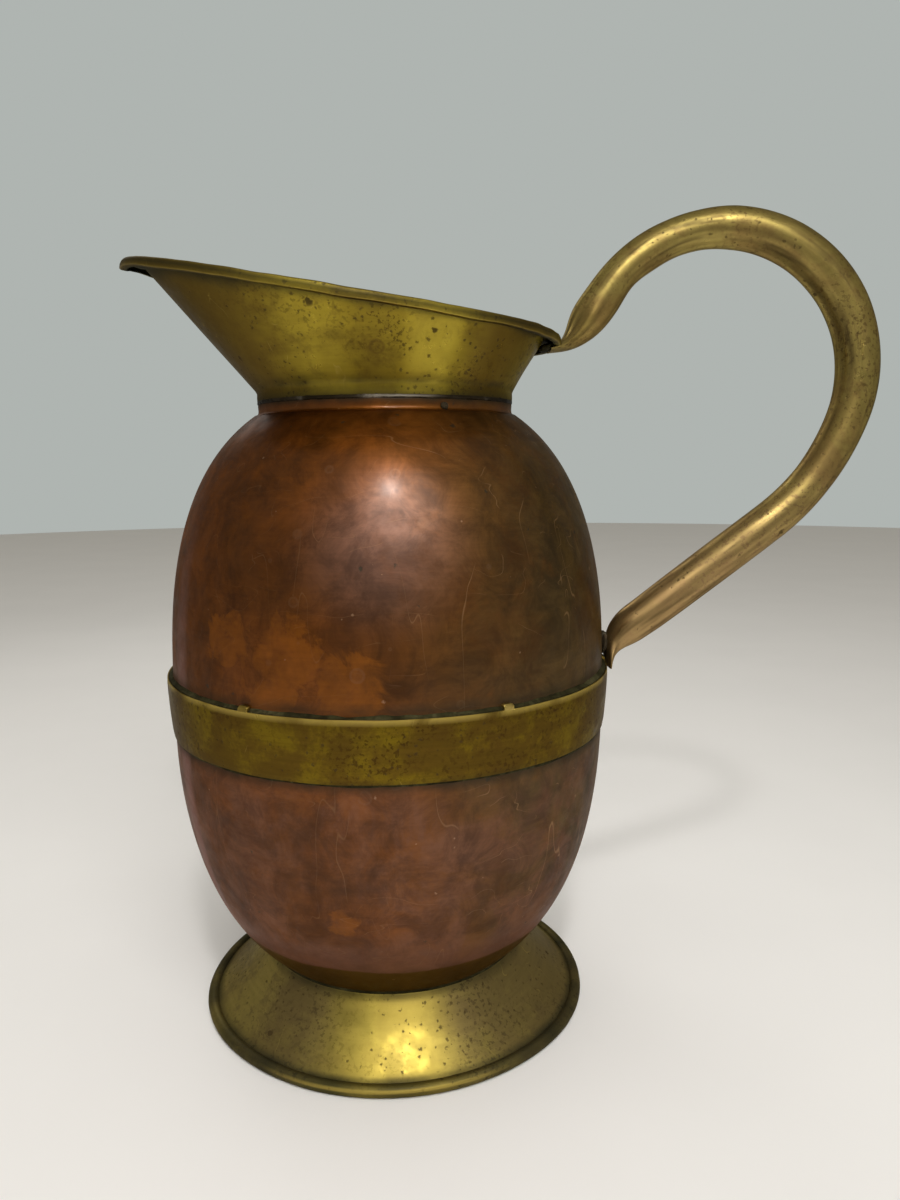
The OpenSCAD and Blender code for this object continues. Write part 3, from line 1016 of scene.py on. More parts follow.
def make_finishes(effects: Effects) -> Finishes:
    """Builds all the materials of the jug.

    Args:
        effects: The shared effects.

    Returns:
        The materials.
    """
    return Finishes(
        copper=CopperFinish().material(effects),
        collar=BrassFinish(
            "collar brass",
            gold=(0.30, 0.222, 0.020),
            brown=(0.115, 0.070, 0.012),
            tarnish=0.40,
            pitted=0.85,
            pit_scale=480.0,
            painted_reflection_bands=(
                (-19.0, 14.0, 0.25),
                (20.0, 12.0, 0.65),
                (50.0, 24.0, -0.85),
                (-62.0, 42.0, -0.9),
                (1.0, 11.0, -0.28),
            ),
        ).material(effects),
        band=BrassFinish(
            "band brass",
            gold=(0.170, 0.114, 0.007),
            brown=(0.085, 0.043, 0.007),
            tarnish=0.60,
            tarnish_scale=60.0,
            pitted=0.6,
            pit_scale=520.0,
            edge=0.5,
            lines_show=0.10,
        ).material(effects),
        foot=BrassFinish(
            "foot brass",
            gold=(0.31, 0.238, 0.066),
            brown=(0.17, 0.120, 0.048),
            tarnish=0.55,
            pitted=0.85,
            pit_scale=480.0,
            rough=0.38,
            painted_reflection_bands=((1.0, 28.0, 0.45), (-38.0, 14.0, -0.4)),
        ).material(effects),
        handle=BrassFinish(
            "handle brass",
            gold=(0.36, 0.278, 0.080),
            brown=(0.22, 0.135, 0.045),
            low_blush=0.6,
            grime=(0.085, 0.058, 0.022),
            tarnish=0.42,
            pitted=0.7,
            pit_scale=480.0,
            rough=0.31,
            lines=(60.0, 60.0, 60.0),
            lines_show=0.12,
        ).material(effects),
        cleat=BrassFinish("cleat brass", gold=(0.5, 0.37, 0.12), tarnish=0.25).material(effects),
        tin=SolderFinish(
            "tin seam",
            (0.10, 0.078, 0.050),
            (0.022, 0.016, 0.009),
            (0.42, 0.38, 0.32),
            metallic=0.6,
            rough=0.40,
        ).material(effects),
        solder=SolderFinish(
            "old solder",
            (0.034, 0.031, 0.012),
            (0.014, 0.012, 0.005),
            (0.075, 0.066, 0.030),
            metallic=0.0,
            rough=0.85,
        ).material(effects),
        green_solder=SolderFinish(
            "green solder",
            (0.085, 0.060, 0.036),
            (0.030, 0.024, 0.014),
            (0.17, 0.16, 0.115),
            metallic=0.3,
            rough=0.65,
        ).material(effects),
        wire=SolderFinish(
            "iron wire", (0.20, 0.18, 0.16), (0.08, 0.05, 0.03), (0.30, 0.28, 0.26), rough=0.5
        ).material(effects),
    )


# ---- The jug ----


@dataclass
class Body:
    """The copper body: a lower bowl and an upper shell with a short neck."""

    radius: float = 90.0
    waist_z: float = 137.0
    upper_rise: float = 126.6
    upper_power: float = 2.7
    lower_drop: float = 126.0
    lower_power: float = 2.5
    bottom_z: float = 16.0
    bottom_r: float = 34.0
    thick: float = 0.8
    neck_r: float = 51.7
    neck_top_z: float = 255.4
    fillet: float = 1.6
    lap_z: float = 131.0
    band_low_z: float = 125.3
    band_top_z: float = 148.2
    foot_z: float = 27.7
    steps: int = 64

    def outside(self, z: float) -> float:
        """Radius of the outside at a height.

        Args:
            z: The height.

        Returns:
            The radius.
        """
        rise, power = (
            (self.upper_rise, self.upper_power)
            if z > self.waist_z
            else (self.lower_drop, self.lower_power)
        )
        t = min(abs(z - self.waist_z) / rise, 1.0)
        return self.radius * (1.0 - t**power) ** (1.0 / power)

    def outline(self, rise: float, power: float, side: int, radius: float) -> list[tuple[float, float]]:
        """Points of one half's outline from the waist to a given radius.

        Args:
            rise: Height of the full dome.
            power: Fullness of the dome.
            side: 1 above the waist, -1 below.
            radius: Radius at which the outline ends.

        Returns:
            Pairs of radius and height.
        """
        last = math.acos((radius / self.radius) ** (power / 2.0))
        points = []
        for i in range(self.steps + 1):
            a = last * i / self.steps
            points.append(
                (
                    self.radius * math.cos(a) ** (2.0 / power),
                    self.waist_z + side * rise * math.sin(a) ** (2.0 / power),
                )
            )
        return points

    def beaten(self, angle: float, skin: Skin) -> tuple[float, float, float]:
        """Slight unevenness of the beaten sheet, none at the joints."""
        calm = bell(self.waist_z, 16.0, skin.z) + bell(self.foot_z, 8.0, skin.z) + bell(
            self.neck_top_z, 12.0, skin.z
        )
        at = Vector((math.cos(angle) * 1.6, math.sin(angle) * 1.6, skin.z / 45.0))
        out = (1.0 - min(calm, 1.0)) * 0.35 * noise.noise(at)
        return out, 0.0, 0.0

    def dirt(self, angle: float, skin: Skin) -> tuple[float, float, float]:
        """Grime beside the seams, wear under the collar and the lining inside.

        Args:
            angle: Angle round the axis, in radians.
            skin: The point of the outline.

        Returns:
            Wear, grime and lining.
        """
        if skin.lining > 0.5:
            return 0.0, skin.grime, 1.0
        near = 0.0
        for seam, reach in (
            (self.band_top_z + 1.4, 3.0),
            (self.band_low_z - 1.2, 2.2),
            (self.foot_z, 1.8),
            (self.neck_top_z, 2.0),
        ):
            amount = 0.5 + 0.5 * ripple(angle, seam, 9.0)
            near = max(near, bell(seam, reach * (0.5 + amount), skin.z) * (0.35 + 0.5 * amount))
        return skin.wear, near, 0.0

    def upper(self, finishes: Finishes) -> None:
        """Builds the upper shell with its neck.

        Args:
            finishes: The materials.
        """
        outline = self.outline(self.upper_rise, self.upper_power, 1, self.neck_r + self.fillet)
        base_z = outline[-1][1]
        outer = [Skin(r, z) for r, z in outline]
        for a in (22.5, 45.0, 67.5, 90.0):
            t = math.radians(a)
            outer.append(
                Skin(
                    self.neck_r + self.fillet * (1.0 - math.sin(t)),
                    base_z + self.fillet * (1.0 - math.cos(t)),
                    wear=0.25,
                )
            )
        outer.append(Skin(self.neck_r, base_z + 2.4, wear=0.12))
        outer.append(Skin(self.neck_r + 0.1, self.neck_top_z - 0.4, wear=0.1))
        outer.append(Skin(self.neck_r, self.neck_top_z))
        inner = [
            Skin(self.neck_r - self.thick, self.neck_top_z, lining=1.0),
            Skin(self.neck_r - self.thick, base_z - 0.6, lining=1.0),
        ]
        for (r0, z0), (r1, z1) in reversed(list(zip(outline, outline[1:]))):
            if r0 > self.neck_r + 3.0:
                length = math.hypot(r1 - r0, z1 - z0)
                inner.append(
                    Skin(
                        r0 - self.thick * (z1 - z0) / length,
                        z0 + self.thick * (r1 - r0) / length,
                        lining=1.0,
                    )
                )
        inner.append(Skin(self.radius - self.thick, self.lap_z, lining=1.0))
        section = [Skin(self.radius, self.lap_z), *outer, *inner]
        piece = turned("copper_upper_shell", section, shape=self.beaten, marks=self.dirt)
        settle(piece, Slot.COPPER, finishes.copper, ["upper_shell"])

    def lower(self, finishes: Finishes) -> None:
        """Builds the lower bowl with its flat bottom and the lap that slips up inside.

        Args:
            finishes: The materials.
        """
        outline = self.outline(self.lower_drop, self.lower_power, -1, 38.0)
        outer = [Skin(r, z) for r, z in outline if z < self.lap_z - 1.0]
        inner = []
        for (r0, z0), (r1, z1) in zip(outline, outline[1:]):
            if z0 < self.lap_z - 1.0:
                length = math.hypot(r1 - r0, z1 - z0)
                inner.append(
                    Skin(
                        r0 - self.thick * (z0 - z1) / length,
                        z0 - self.thick * (r1 - r0) / length,
                        lining=1.0,
                    )
                )
        lap_r = self.radius - self.thick
        section = [
            Skin(0.0, self.bottom_z),
            Skin(18.0, self.bottom_z),
            Skin(self.bottom_r, self.bottom_z),
            Skin(self.bottom_r + 1.5, self.bottom_z + 0.4),
            *reversed(outer),
            Skin(self.radius, self.lap_z - 0.4),
            Skin(lap_r, self.lap_z),
            Skin(lap_r, self.lap_z + 9.0),
            Skin(lap_r - self.thick, self.lap_z + 9.0, lining=1.0),
            Skin(lap_r - self.thick, self.lap_z - 1.0, lining=1.0),
            *inner,
            Skin(self.bottom_r - 0.5, self.bottom_z + self.thick, lining=1.0),
            Skin(0.0, self.bottom_z + self.thick, lining=1.0),
        ]
        piece = turned("copper_lower_bowl", section, shape=self.beaten, marks=self.dirt, closed=False)
        settle(piece, Slot.COPPER, finishes.copper, ["lower_bowl"])

    def build(self, finishes: Finishes) -> None:
        """Builds both shells."""
        self.lower(finishes)
        self.upper(finishes)


@dataclass
class Band:
    """The brass band over the waist, with its solder and its small cleats."""

    body: Body
    low_z: float = 125.3
    top_z: float = 148.2
    low_r: float = 90.8
    top_r: float = 92.3
    thick: float = 0.8
    cleats: int = 6
    cleat_w: float = 4.0
    cleat_h: float = 2.0

    def strip(self, finishes: Finishes) -> None:
        """Builds the band: slightly wavy at both edges, with worn corners.

        Args:
            finishes: The materials.
        """
        section = []
        rows = 10
        for i in range(rows + 1):
            t = i / rows
            r = self.low_r + (self.top_r - self.low_r) * t
            edge = max(bell(0.0, 0.08, t), bell(1.0, 0.10, t))
            bow = 0.25 * math.sin(math.pi * t)
            section.append(
                Skin(
                    r + bow - (0.18 if i in (0, rows) else 0.0),
                    self.low_z + (self.top_z - self.low_z) * t,
                    wear=0.0,
                    grime=0.25 * edge,
                )
            )
            if i == rows:
                section[-1].wear = 0.8
                section[-1].grime = 0.0
        section.append(Skin(self.top_r - 0.35, self.top_z + 0.1, wear=0.6))
        section.append(Skin(self.top_r - self.thick, self.top_z, grime=0.6))
        section.append(Skin(self.low_r - self.thick, self.low_z, grime=0.6))
        section.append(Skin(self.low_r - 0.4, self.low_z - 0.08, grime=0.4))

        def wave(angle: float, skin: Skin) -> tuple[float, float, float]:
            """Waviness of the cut edges."""
            top = smooth(self.low_z, self.top_z, skin.z)
            up = 0.22 * ripple(angle, 3.1, 5.0) * top + 0.18 * ripple(angle, 8.7, 6.0) * (1.0 - top)
            return 0.14 * ripple(angle, 5.5, 3.0), up, 0.0

        def marks(angle: float, skin: Skin) -> tuple[float, float, float]:
            """Wear on the top edge comes and goes and is most at the front, where its bright line is also a
            painted highlight.
            """
            front = 0.5 - 0.5 * math.sin(angle)
            amount = (0.35 + 0.65 * front) * smooth(-0.35, 0.25, ripple(angle, 21.0, 8.0) + 0.3 * front)
            return skin.wear * amount, skin.grime * (0.6 + 0.4 * ripple(angle, 2.0, 7.0)), 0.0

        piece = turned("waist_band_sheet", section, steps=288, shape=wave, marks=marks)
        settle(piece, Slot.BRASS, finishes.band, ["waist_band"])

    def solder(self, finishes: Finishes) -> None:
        """Builds the dark solder above and below the band, run unevenly.

        Args:
            finishes: The materials.
        """
        low = self.top_z - 5.0
        back = self.top_r - self.thick
        section = [
            Skin(self.body.outside(low) - 0.1, low),
            Skin(back - 0.3, low),
            Skin(back, self.top_z - 0.3),
            Skin(back - 0.2, self.top_z + 0.25),
            Skin(self.body.outside(self.top_z + 0.6) + 0.45, self.top_z + 0.6),
            Skin(self.body.outside(self.top_z + 1.2) - 0.05, self.top_z + 1.2),
        ]

        def run(angle: float, skin: Skin) -> tuple[float, float, float]:
            """How far the solder has climbed the copper.

            Args:
                angle: Angle round the axis, in radians.
                skin: The point of the outline.

            Returns:
                Shifts outward, upward and toward +X.
            """
            if skin.z < self.top_z:
                return 0.0, 0.0, 0.0
            side = abs(math.cos(angle)) ** 1.5
            climb = 0.8 * ripple(angle, 11.0, 5.0) + 0.6 * ripple(angle, 14.0, 17.0) + 0.4 * side - 0.1
            share = smooth(self.top_z, self.top_z + 1.5, skin.z)
            return 0.12 * ripple(angle, 31.0, 20.0) * share, climb * share, 0.0

        piece = turned("band_top_solder", section, steps=360, shape=run)
        settle(piece, Slot.OLD_SOLDER, finishes.solder, ["band_upper_solder"])
        section = [
            Skin(self.body.outside(self.low_z - 1.3) - 0.05, self.low_z - 1.3),
            Skin(self.low_r - 0.45, self.low_z - 0.35),
            Skin(self.low_r - 0.35, self.low_z + 0.1),
            Skin(self.body.outside(self.low_z) - 0.1, self.low_z + 0.1),
        ]

        def hang(angle: float, skin: Skin) -> tuple[float, float, float]:
            """How far the solder hangs down the copper."""
            share = 1.0 - smooth(self.low_z - 1.3, self.low_z - 0.3, skin.z)
            return 0.0, -0.7 * (ripple(angle, 17.0, 6.0) + 0.4 * ripple(angle, 4.0, 19.0)) * share, 0.0

        piece = turned("band_low_solder", section, steps=360, shape=hang)
        settle(piece, Slot.OLD_SOLDER, finishes.solder, ["band_lower_solder"])

    def cleat(self, index: int) -> bpy.types.Object:
        """Builds one small folded strip of brass that pins the band to the shell.

        Args:
            index: Which cleat, counted round from the right of the front.

        Returns:
            The cleat.
        """
        turn = math.radians(-90.0 + 30.0 + index * 360.0 / self.cleats)
        out, side = Vector((math.cos(turn), math.sin(turn), 0.0)), Vector(
            (-math.sin(turn), math.cos(turn), 0.0)
        )
        up = Vector((0.0, 0.0, 1.0))
        base = self.body.radius - 0.2
        front = self.top_r - 0.25
        rows, marks = [], []
        steps = 12
        tilt = 0.25 * math.sin(index * 2.3)
        for i in range(steps + 1):
            s = (i / steps - 0.5) * self.cleat_w
            crown = self.cleat_h - 0.35 * (abs(s) / (self.cleat_w / 2.0)) ** 6 + tilt * s / self.cleat_w
            profile = [
                (base, -1.4),
                (front - 0.1, -1.4),
                (front, -0.9),
                (front + 0.05, 0.15),
                (front - 0.15, crown * 0.7),
                (front - 0.75, crown - 0.08),
                (base, crown),
            ]
            rows.append([out * r + side * s + up * (self.top_z + z) for r, z in profile])
            end = 0.9 if i in (0, steps) else 0.3
            marks.append([(end if 2 <= k <= 5 else 0.0, 0.0, 0.0) for k in range(len(profile))])
        web = Web(rows, marks, rows_close=False, capped=True)
        return web.build(f"band_cleat_{index + 1}", sharp=30.0)

    def build(self, finishes: Finishes) -> None:
        """Builds the band, its solder and its cleats.

        Args:
            finishes: The materials.
        """
        self.strip(finishes)
        self.solder(finishes)
        for index in range(self.cleats):
            piece = self.cleat(index)
            settle(piece, Slot.BRASS, finishes.cleat if index == 0 else finishes.band, ["band_cleats"])


@dataclass
class Foot:
    """The flared brass foot with its edge rolled over a wire."""

    body: Body
    top_r: float = 55.5
    top_z: float = 27.7
    outer_r: float = 83.0
    bead: float = 2.5
    wear: float = 0.12
    thick: float = 1.0
    hollow: float = 1.4
    seat: float = 8.0

    def build(self, finishes: Finishes) -> None:
        """Builds the skirt, its rolled edge and the solder above it.

        Args:
            finishes: The materials.
        """
        centre_r, centre_z = self.outer_r - self.bead, self.bead - self.wear
        low_r = centre_r - self.bead * math.cos(math.radians(35.0))
        low_z = centre_z + self.bead * math.sin(math.radians(35.0))
        section: list[Skin] = []
        for i in range(4):
            r = self.top_r - self.seat * (1.0 - i / 3.0)
            section.append(Skin(r, self.body_under(r)))
        steps = 26
        for i in range(1, steps + 1):
            t = i / steps
            dip = self.hollow * math.sin(math.pi * t)
            # The skirt is darker along the crease by the rolled edge, and darker at its top, a painted
            # reflection of the copper above.
            crease = bell(1.0, 0.11, t)
            near = bell(0.0, 0.16, t)
            section.append(
                Skin(
                    self.top_r + t * (low_r - self.top_r) - dip * 0.7,
                    self.top_z + t * (low_z - self.top_z) - dip,
                    grime=max(0.75 * crease, 0.55 * near),
                )
            )
        arc = 22
        for i in range(arc + 1):
            a = math.radians(150.0 - i * 330.0 / arc)
            z = max(centre_z + self.bead * math.sin(a), 0.0)
            # A thin bright line along the rolled edge: wear and a painted highlight, kept to the front by
            # the marks below.
            wear_and_glint = bell(math.radians(22.0), 0.4, a)
            section.append(Skin(centre_r + self.bead * math.cos(a), z, wear=0.7 * wear_and_glint, grime=0.74))
        for i in range(steps, 0, -1):
            t = i / steps
            if t > 0.96:
                continue
            dip = self.hollow * math.sin(math.pi * t)
            section.append(
                Skin(
                    self.top_r + t * (low_r - self.top_r) - dip * 0.7,
                    self.top_z + t * (low_z - self.top_z) - dip - self.thick,
                    grime=0.35,
                )
            )
        for i in range(3, -1, -1):
            r = self.top_r - self.seat * (1.0 - i / 3.0)
            section.append(Skin(r, self.body_under(r) - self.thick, grime=0.35))

        def dented(angle: float, skin: Skin) -> tuple[float, float, float]:
            """Gentle dents in the skirt and unevenness of the rolled edge.

            Args:
                angle: Angle round the axis, in radians.
                skin: The point of the outline.

            Returns:
                Shifts outward, upward and toward +X.
            """
            if skin.r < self.top_r:
                return 0.0, 0.0, 0.0
            push = -2.3 * smooth(0.2, 1.0, -math.sin(angle)) * smooth(self.top_r, self.outer_r, skin.r)
            middle = bell(15.0, 12.0, skin.z)
            at = Vector((math.cos(angle) * 1.9, math.sin(angle) * 1.9, skin.z / 14.0 + 40.0))
            out = 0.12 * ripple(angle, 9.0, 4.0) * smooth(70.0, 82.0, skin.r)
            return out + push, middle * 0.45 * noise.noise(at), 0.0

        def marks(angle: float, skin: Skin) -> tuple[float, float, float]:
            """Grime thins and thickens round the foot; the rolled edge's thin bright line, kept to the
            front, is wear and a painted highlight.
            """
            front = smooth(0.75, 0.98, -math.sin(angle))
            uneven = 0.9 + 0.5 * ripple(angle, 6.0, 6.0)
            clean = 0.9 * front * skin.wear / 0.7
            return skin.wear * front, min(skin.grime * uneven * (1.0 - clean), 1.0), 0.0

        piece = turned("foot_skirt", section, steps=288, shape=dented, marks=marks)
        settle(piece, Slot.BRASS, finishes.foot, ["foot_flare"])
        wire_r = self.bead - 0.85
        ring = []
        for i in range(18):
            a = 2.0 * math.pi * i / 18
            z = max(centre_z + wire_r * math.sin(a), 0.02)
            ring.append(Skin(centre_r + wire_r * math.cos(a), z, grime=0.5))
        piece = turned("foot_wire", ring, steps=288, shape=dented)
        settle(piece, Slot.WIRE, finishes.wire, ["foot_rim_wire"])
        self.solder(finishes)

    def body_under(self, radius: float) -> float:
        """Height of the copper's underside at a radius."""
        body = self.body
        return body.waist_z - body.lower_drop * (1.0 - (radius / body.radius) ** body.lower_power) ** (
            1.0 / body.lower_power
        )

    def solder(self, finishes: Finishes) -> None:
        """Builds the thin dark line where the copper sits in the foot.

        Args:
            finishes: The materials.
        """
        section = [
            Skin(self.top_r - 0.6, self.top_z - 0.2),
            Skin(self.top_r + 0.6, self.top_z - 0.5),
            Skin(self.top_r + 0.8, self.top_z + 0.05),
            Skin(self.top_r + 0.9, self.body_under(self.top_r + 0.9) + 0.05),
            Skin(self.top_r + 0.2, self.body_under(self.top_r + 0.2) + 0.2),
        ]

        def run(angle: float, skin: Skin) -> tuple[float, float, float]:
            """Unevenness of the run."""
            share = smooth(self.top_r, self.top_r + 0.8, skin.r)
            return 0.15 * ripple(angle, 12.0, 9.0) * share, 0.0, 0.0

        piece = turned("foot_seat_solder", section, steps=288, shape=run)
        settle(piece, Slot.OLD_SOLDER, finishes.solder, ["foot_solder"])


@dataclass
class Collar:
    """The oblique brass pouring collar, a tilted cone with a rolled rim."""

    base_r: float = 52.0
    flare_z: float = 260.4
    foot_z: float = 257.0
    spout_flare: float = 40.9
    back_flare: float = 31.6
    trim_r: float = 673.0
    trim_low_z: float = 281.2
    trim_low_x: float = 95.0
    rim_out: float = 5.6
    lip: float = 3.4
    thick: float = 0.8
    spigot_r: float = 50.9
    spigot_z: float = 249.4
    columns: int = 288
    back_lift: float = 5.5
    widest: float = 8.4

    def __post_init__(self) -> None:
        """Works out the cone's apex and spread."""
        spout = math.tan(math.radians(self.spout_flare))
        back = math.tan(math.radians(self.back_flare))
        half = math.radians((self.spout_flare + self.back_flare) / 2.0)
        tilt = math.radians((self.spout_flare - self.back_flare) / 2.0)
        self.drop = 2.0 * self.base_r / (spout + back)
        self.apex = Vector((self.drop * spout - self.base_r, 0.0, self.flare_z - self.drop))
        self.shift = (back - spout) / 2.0
        self.spread = (spout + back) / 2.0
        self.squeeze = math.sqrt(1.0 - (math.sin(tilt) / math.cos(half)) ** 2)

    def ruling(self, t: float) -> Vector:
        """Direction of the cone's wall at an angle, one unit of height long.

        Args:
            t: Angle round the collar, in radians.

        Returns:
            The direction.
        """
        return Vector(
            (
                self.shift + self.spread * math.cos(t),
                self.spread * self.squeeze * math.sin(t),
                1.0,
            )
        )

    def trim_z(self, at: Vector) -> float:
        """Height of the trimmed edge over a point: a little higher behind the spout's tip."""
        level = self.trim_low_z + self.trim_r - math.sqrt(self.trim_r**2 - (at.x - self.trim_low_x) ** 2)
        return level + self.back_lift * smooth(-25.0, 30.0, at.y) * smooth(10.0, -90.0, at.x)

    def edge(self, t: float) -> Vector:
        """Where the wall meets the trim, at an angle.

        Args:
            t: Angle round the collar, in radians.

        Returns:
            The point.
        """
        rule = self.ruling(t)
        height = self.drop + 30.0
        for _ in range(40):
            point = self.apex + rule * height
            height += (self.trim_z(point) - point.z) * 0.8
        return self.apex + rule * height

    def column(self, t: float) -> tuple[list[Vector], list[tuple[float, float, float]]]:
        """One upright section of the sheet, from the spigot up, over the rim and back inside.

        Args:
            t: Angle round the cone.

        Returns:
            Points of the section and the marks on them.
        """
        rule = self.ruling(t)
        slope = rule.normalized()
        across = Vector(
            (-self.spread * math.sin(t), self.spread * self.squeeze * math.cos(t), 0.0)
        ).normalized()
        normal = across.cross(slope).normalized()
        edge = self.edge(t)
        fall = -(edge.x - self.trim_low_x) / math.sqrt(self.trim_r**2 - (edge.x - self.trim_low_x) ** 2)
        up = Vector((fall, 0.0, 1.0)).normalized()
        out = (normal - up * normal.dot(up)).normalized()
        reach = min(self.rim_out / max(normal.dot(out), 0.3), self.widest)
        level = Vector((math.cos(t), math.sin(t), 0.0))
        wave = 0.35 * ripple(t, 2.2, 3.0) + 0.2 * ripple(t, 7.1, 9.0)
        lip = self.lip + 0.35 * ripple(t, 5.0, 4.0)

        def ring(radius: float, z: float) -> Vector:
            """A point of the straight foot."""
            return level * radius + Vector((0.0, 0.0, z))

        def rim(s: float, d: float) -> Vector:
            """A point of the rim: out from the wall's edge, and down."""
            share = smooth(0.0, 3.0, s)
            return edge + out * s - up * (d - wave * share)

        points: list[Vector] = []
        marks: list[tuple[float, float, float]] = []

        def lay(point: Vector, wear: float = 0.0, grime: float = 0.0) -> None:
            """Adds a point with its marks."""
            points.append(point)
            marks.append((min(max(wear, 0.0), 1.0), min(max(grime, 0.0), 1.0), 0.0))

        lay(ring(self.spigot_r, self.spigot_z))
        lay(ring(self.spigot_r, self.foot_z - 0.3))
        lay(ring(self.base_r, self.foot_z - 0.2), grime=0.6)
        lay(ring(self.base_r + 0.05, self.foot_z + 1.4), grime=0.3)
        lay(ring(self.base_r, self.flare_z - 0.5), grime=0.15)
        top = (edge.z - 0.9 - self.apex.z) / (edge.z - self.apex.z)
        steps = 24
        for i in range(steps + 1):
            h = self.drop * 1.012 + (top * (edge.z - self.apex.z) - self.drop * 1.012) * i / steps
            # Toward the top the wall darkens under the rim: painted shade. Its foot gets grime along the
            # joint.
            reach_down = 0.80 + 0.10 * ripple(t, 4.4, 5.0)
            near = smooth(reach_down, 1.0, i / steps)
            foot = bell(
                0.0, 0.12 + 0.06 * ripple(t, 9.1, 4.0), i / steps
            ) * (0.35 + 0.3 * ripple(t, 6.3, 7.0))
            point = self.apex + rule * h
            mid = math.sin(math.pi * i / steps)
            at = Vector((math.cos(t) * 1.5, math.sin(t) * 1.5, i / steps * 1.2 + 60.0))
            point += normal * (0.45 * mid * noise.noise(at))
            lay(point, grime=max(0.85 * near * near, foot))
        # Inside the roll and under the lip the sheet is dark: grime and painted shade.
        lay(rim(0.5, 0.95), grime=0.9)
        lay(rim(reach - 1.5, 1.05), grime=0.95)
        lay(rim(reach - 0.95, 1.35), grime=0.95)
        lay(rim(reach - 1.0, lip - 0.7), grime=0.95)
        lay(rim(reach - 2.6, lip - 0.5), grime=0.95)
        lay(rim(reach - 2.7, lip), grime=0.9)
        lay(rim(reach - 0.8, lip + 0.15), grime=0.5)
        lay(rim(reach - 0.15, lip - 0.15), wear=0.3)
        lay(rim(reach, lip - 0.6), wear=0.1, grime=0.2)
        # The rim's top outer corner carries a thin bright line: wear and a painted highlight.
        shine = 0.5 + 0.5 * ripple(t, 13.0, 4.0)
        lay(rim(reach + 0.1, lip * 0.5), grime=0.62)
        lay(rim(reach - 0.05, 0.9), grime=0.5)
        lay(rim(reach - 0.35, 0.35), wear=0.35 * shine, grime=0.2)
        lay(rim(reach - 0.9, 0.05), wear=0.2 * shine, grime=0.3)
        lay(rim(reach * 0.6, -0.1), grime=0.6)
        lay(rim(reach * 0.3, -0.05), grime=0.6)
        lay(rim(0.2, 0.0), wear=0.15, grime=0.2)
        lay(rim(-0.3, 0.12), wear=0.3)
        inner = edge - normal * self.thick
        lay(inner - slope * 0.7, wear=0.25)
        for i in range(steps, -1, -1):
            h = self.drop * 1.012 + (top * (edge.z - self.apex.z) - self.drop * 1.012) * i / steps
            point = self.apex + rule * h - normal * self.thick
            mid = math.sin(math.pi * i / steps)
            at = Vector((math.cos(t) * 1.5, math.sin(t) * 1.5, i / steps * 1.2 + 60.0))
            point += normal * (0.45 * mid * noise.noise(at))
            if i < steps:
                lay(point, grime=0.3 * (1.0 - i / steps))
        lay(ring(self.spigot_r - self.thick, self.foot_z + 1.5), grime=0.4)
        lay(ring(self.spigot_r - self.thick, self.spigot_z), grime=0.4)
        return points, marks

    def build(self, finishes: Finishes) -> None:
        """Builds the collar.

        Args:
            finishes: The materials.
        """
        columns, marks = [], []
        for k in range(self.columns):
            points, values = self.column(2.0 * math.pi * k / self.columns + math.pi / 2.0)
            columns.append(points)
            marks.append(values)
        piece = Web(columns, marks).build("pouring_collar_sheet", sharp=35.0)
        settle(piece, Slot.BRASS, finishes.collar, ["pouring_collar"])


@dataclass
class NeckJoint:
    """The tinned seam between the neck and the collar, with one drop that ran down."""

    neck_r: float = 51.7
    low_z: float = 255.4
    high_z: float = 257.0
    drop_turn: float = -62.0
    highlight_at: float = math.radians(280.0)

    def build(self, finishes: Finishes) -> None:
        """Builds the seam and the drop.

        Args:
            finishes: The materials.
        """
        section = [
            Skin(self.neck_r - 0.7, self.low_z),
            Skin(self.neck_r + 0.02, self.low_z + 0.1),
            Skin(self.neck_r + 0.25, self.low_z + 0.4),
            Skin(self.neck_r + 0.34, self.low_z + 0.8, wear=0.9),
            Skin(self.neck_r + 0.30, self.low_z + 1.2, wear=0.3),
            Skin(self.neck_r + 0.25, self.high_z),
            Skin(self.neck_r - 0.7, self.high_z),
        ]

        def run(angle: float, skin: Skin) -> tuple[float, float, float]:
            """Lumps in the seam."""
            share = smooth(self.neck_r, self.neck_r + 0.4, skin.r)
            return 0.14 * ripple(angle, 41.0, 18.0) * share, 0.16 * ripple(angle, 44.0, 14.0) * share, 0.0

        def marks(angle: float, skin: Skin) -> tuple[float, float, float]:
            """The seam shows a painted highlight: a bright line on the tin at the front, fainter at the
            back, and it is darker away from it.
            """
            bright = bell(self.highlight_at, 0.42, angle) + 0.5 * bell(self.highlight_at + math.pi, 0.5, angle)
            dirt = (1.0 - min(bright * 1.6, 1.0)) * (0.85 + 0.5 * ripple(angle, 3.0, 6.0))
            return skin.wear * bright, min(max(dirt, 0.0), 1.0), 0.0

        piece = turned("neck_tin_seam", section, steps=360, shape=run, marks=marks)
        settle(piece, Slot.TIN, finishes.tin, ["neck_solder"])
        self.bead(finishes)

    def bead(self, finishes: Finishes) -> None:
        """Builds the drop of solder that ran down the neck.

        Args:
            finishes: The materials.
        """
        bm = bmesh.new()
        for mark in Mark:
            bm.verts.layers.float.new(mark.value)
        bmesh.ops.create_icosphere(bm, subdivisions=4, radius=1.5)
        turn = math.radians(self.drop_turn)
        centre = Vector(
            (math.cos(turn), math.sin(turn), 0.0)
        ) * (self.neck_r + 0.15) + Vector((0.0, 0.0, self.low_z - 2.6))
        for vert in bm.verts:
            p = vert.co.copy()
            lump = 1.0 + 0.16 * noise.noise(p * 0.9 + Vector((3.0, 1.0, 2.0)))
            p = Vector((p.x * 0.8, p.y, p.z * 1.05)) * lump
            vert.co = (Matrix.Rotation(turn, 3, "Z") @ p + centre) * MM
        piece = finish_mesh(bm, "neck_solder_bead", 60.0)
        settle(piece, Slot.OLD_SOLDER, finishes.green_solder, ["neck_solder_drop"])


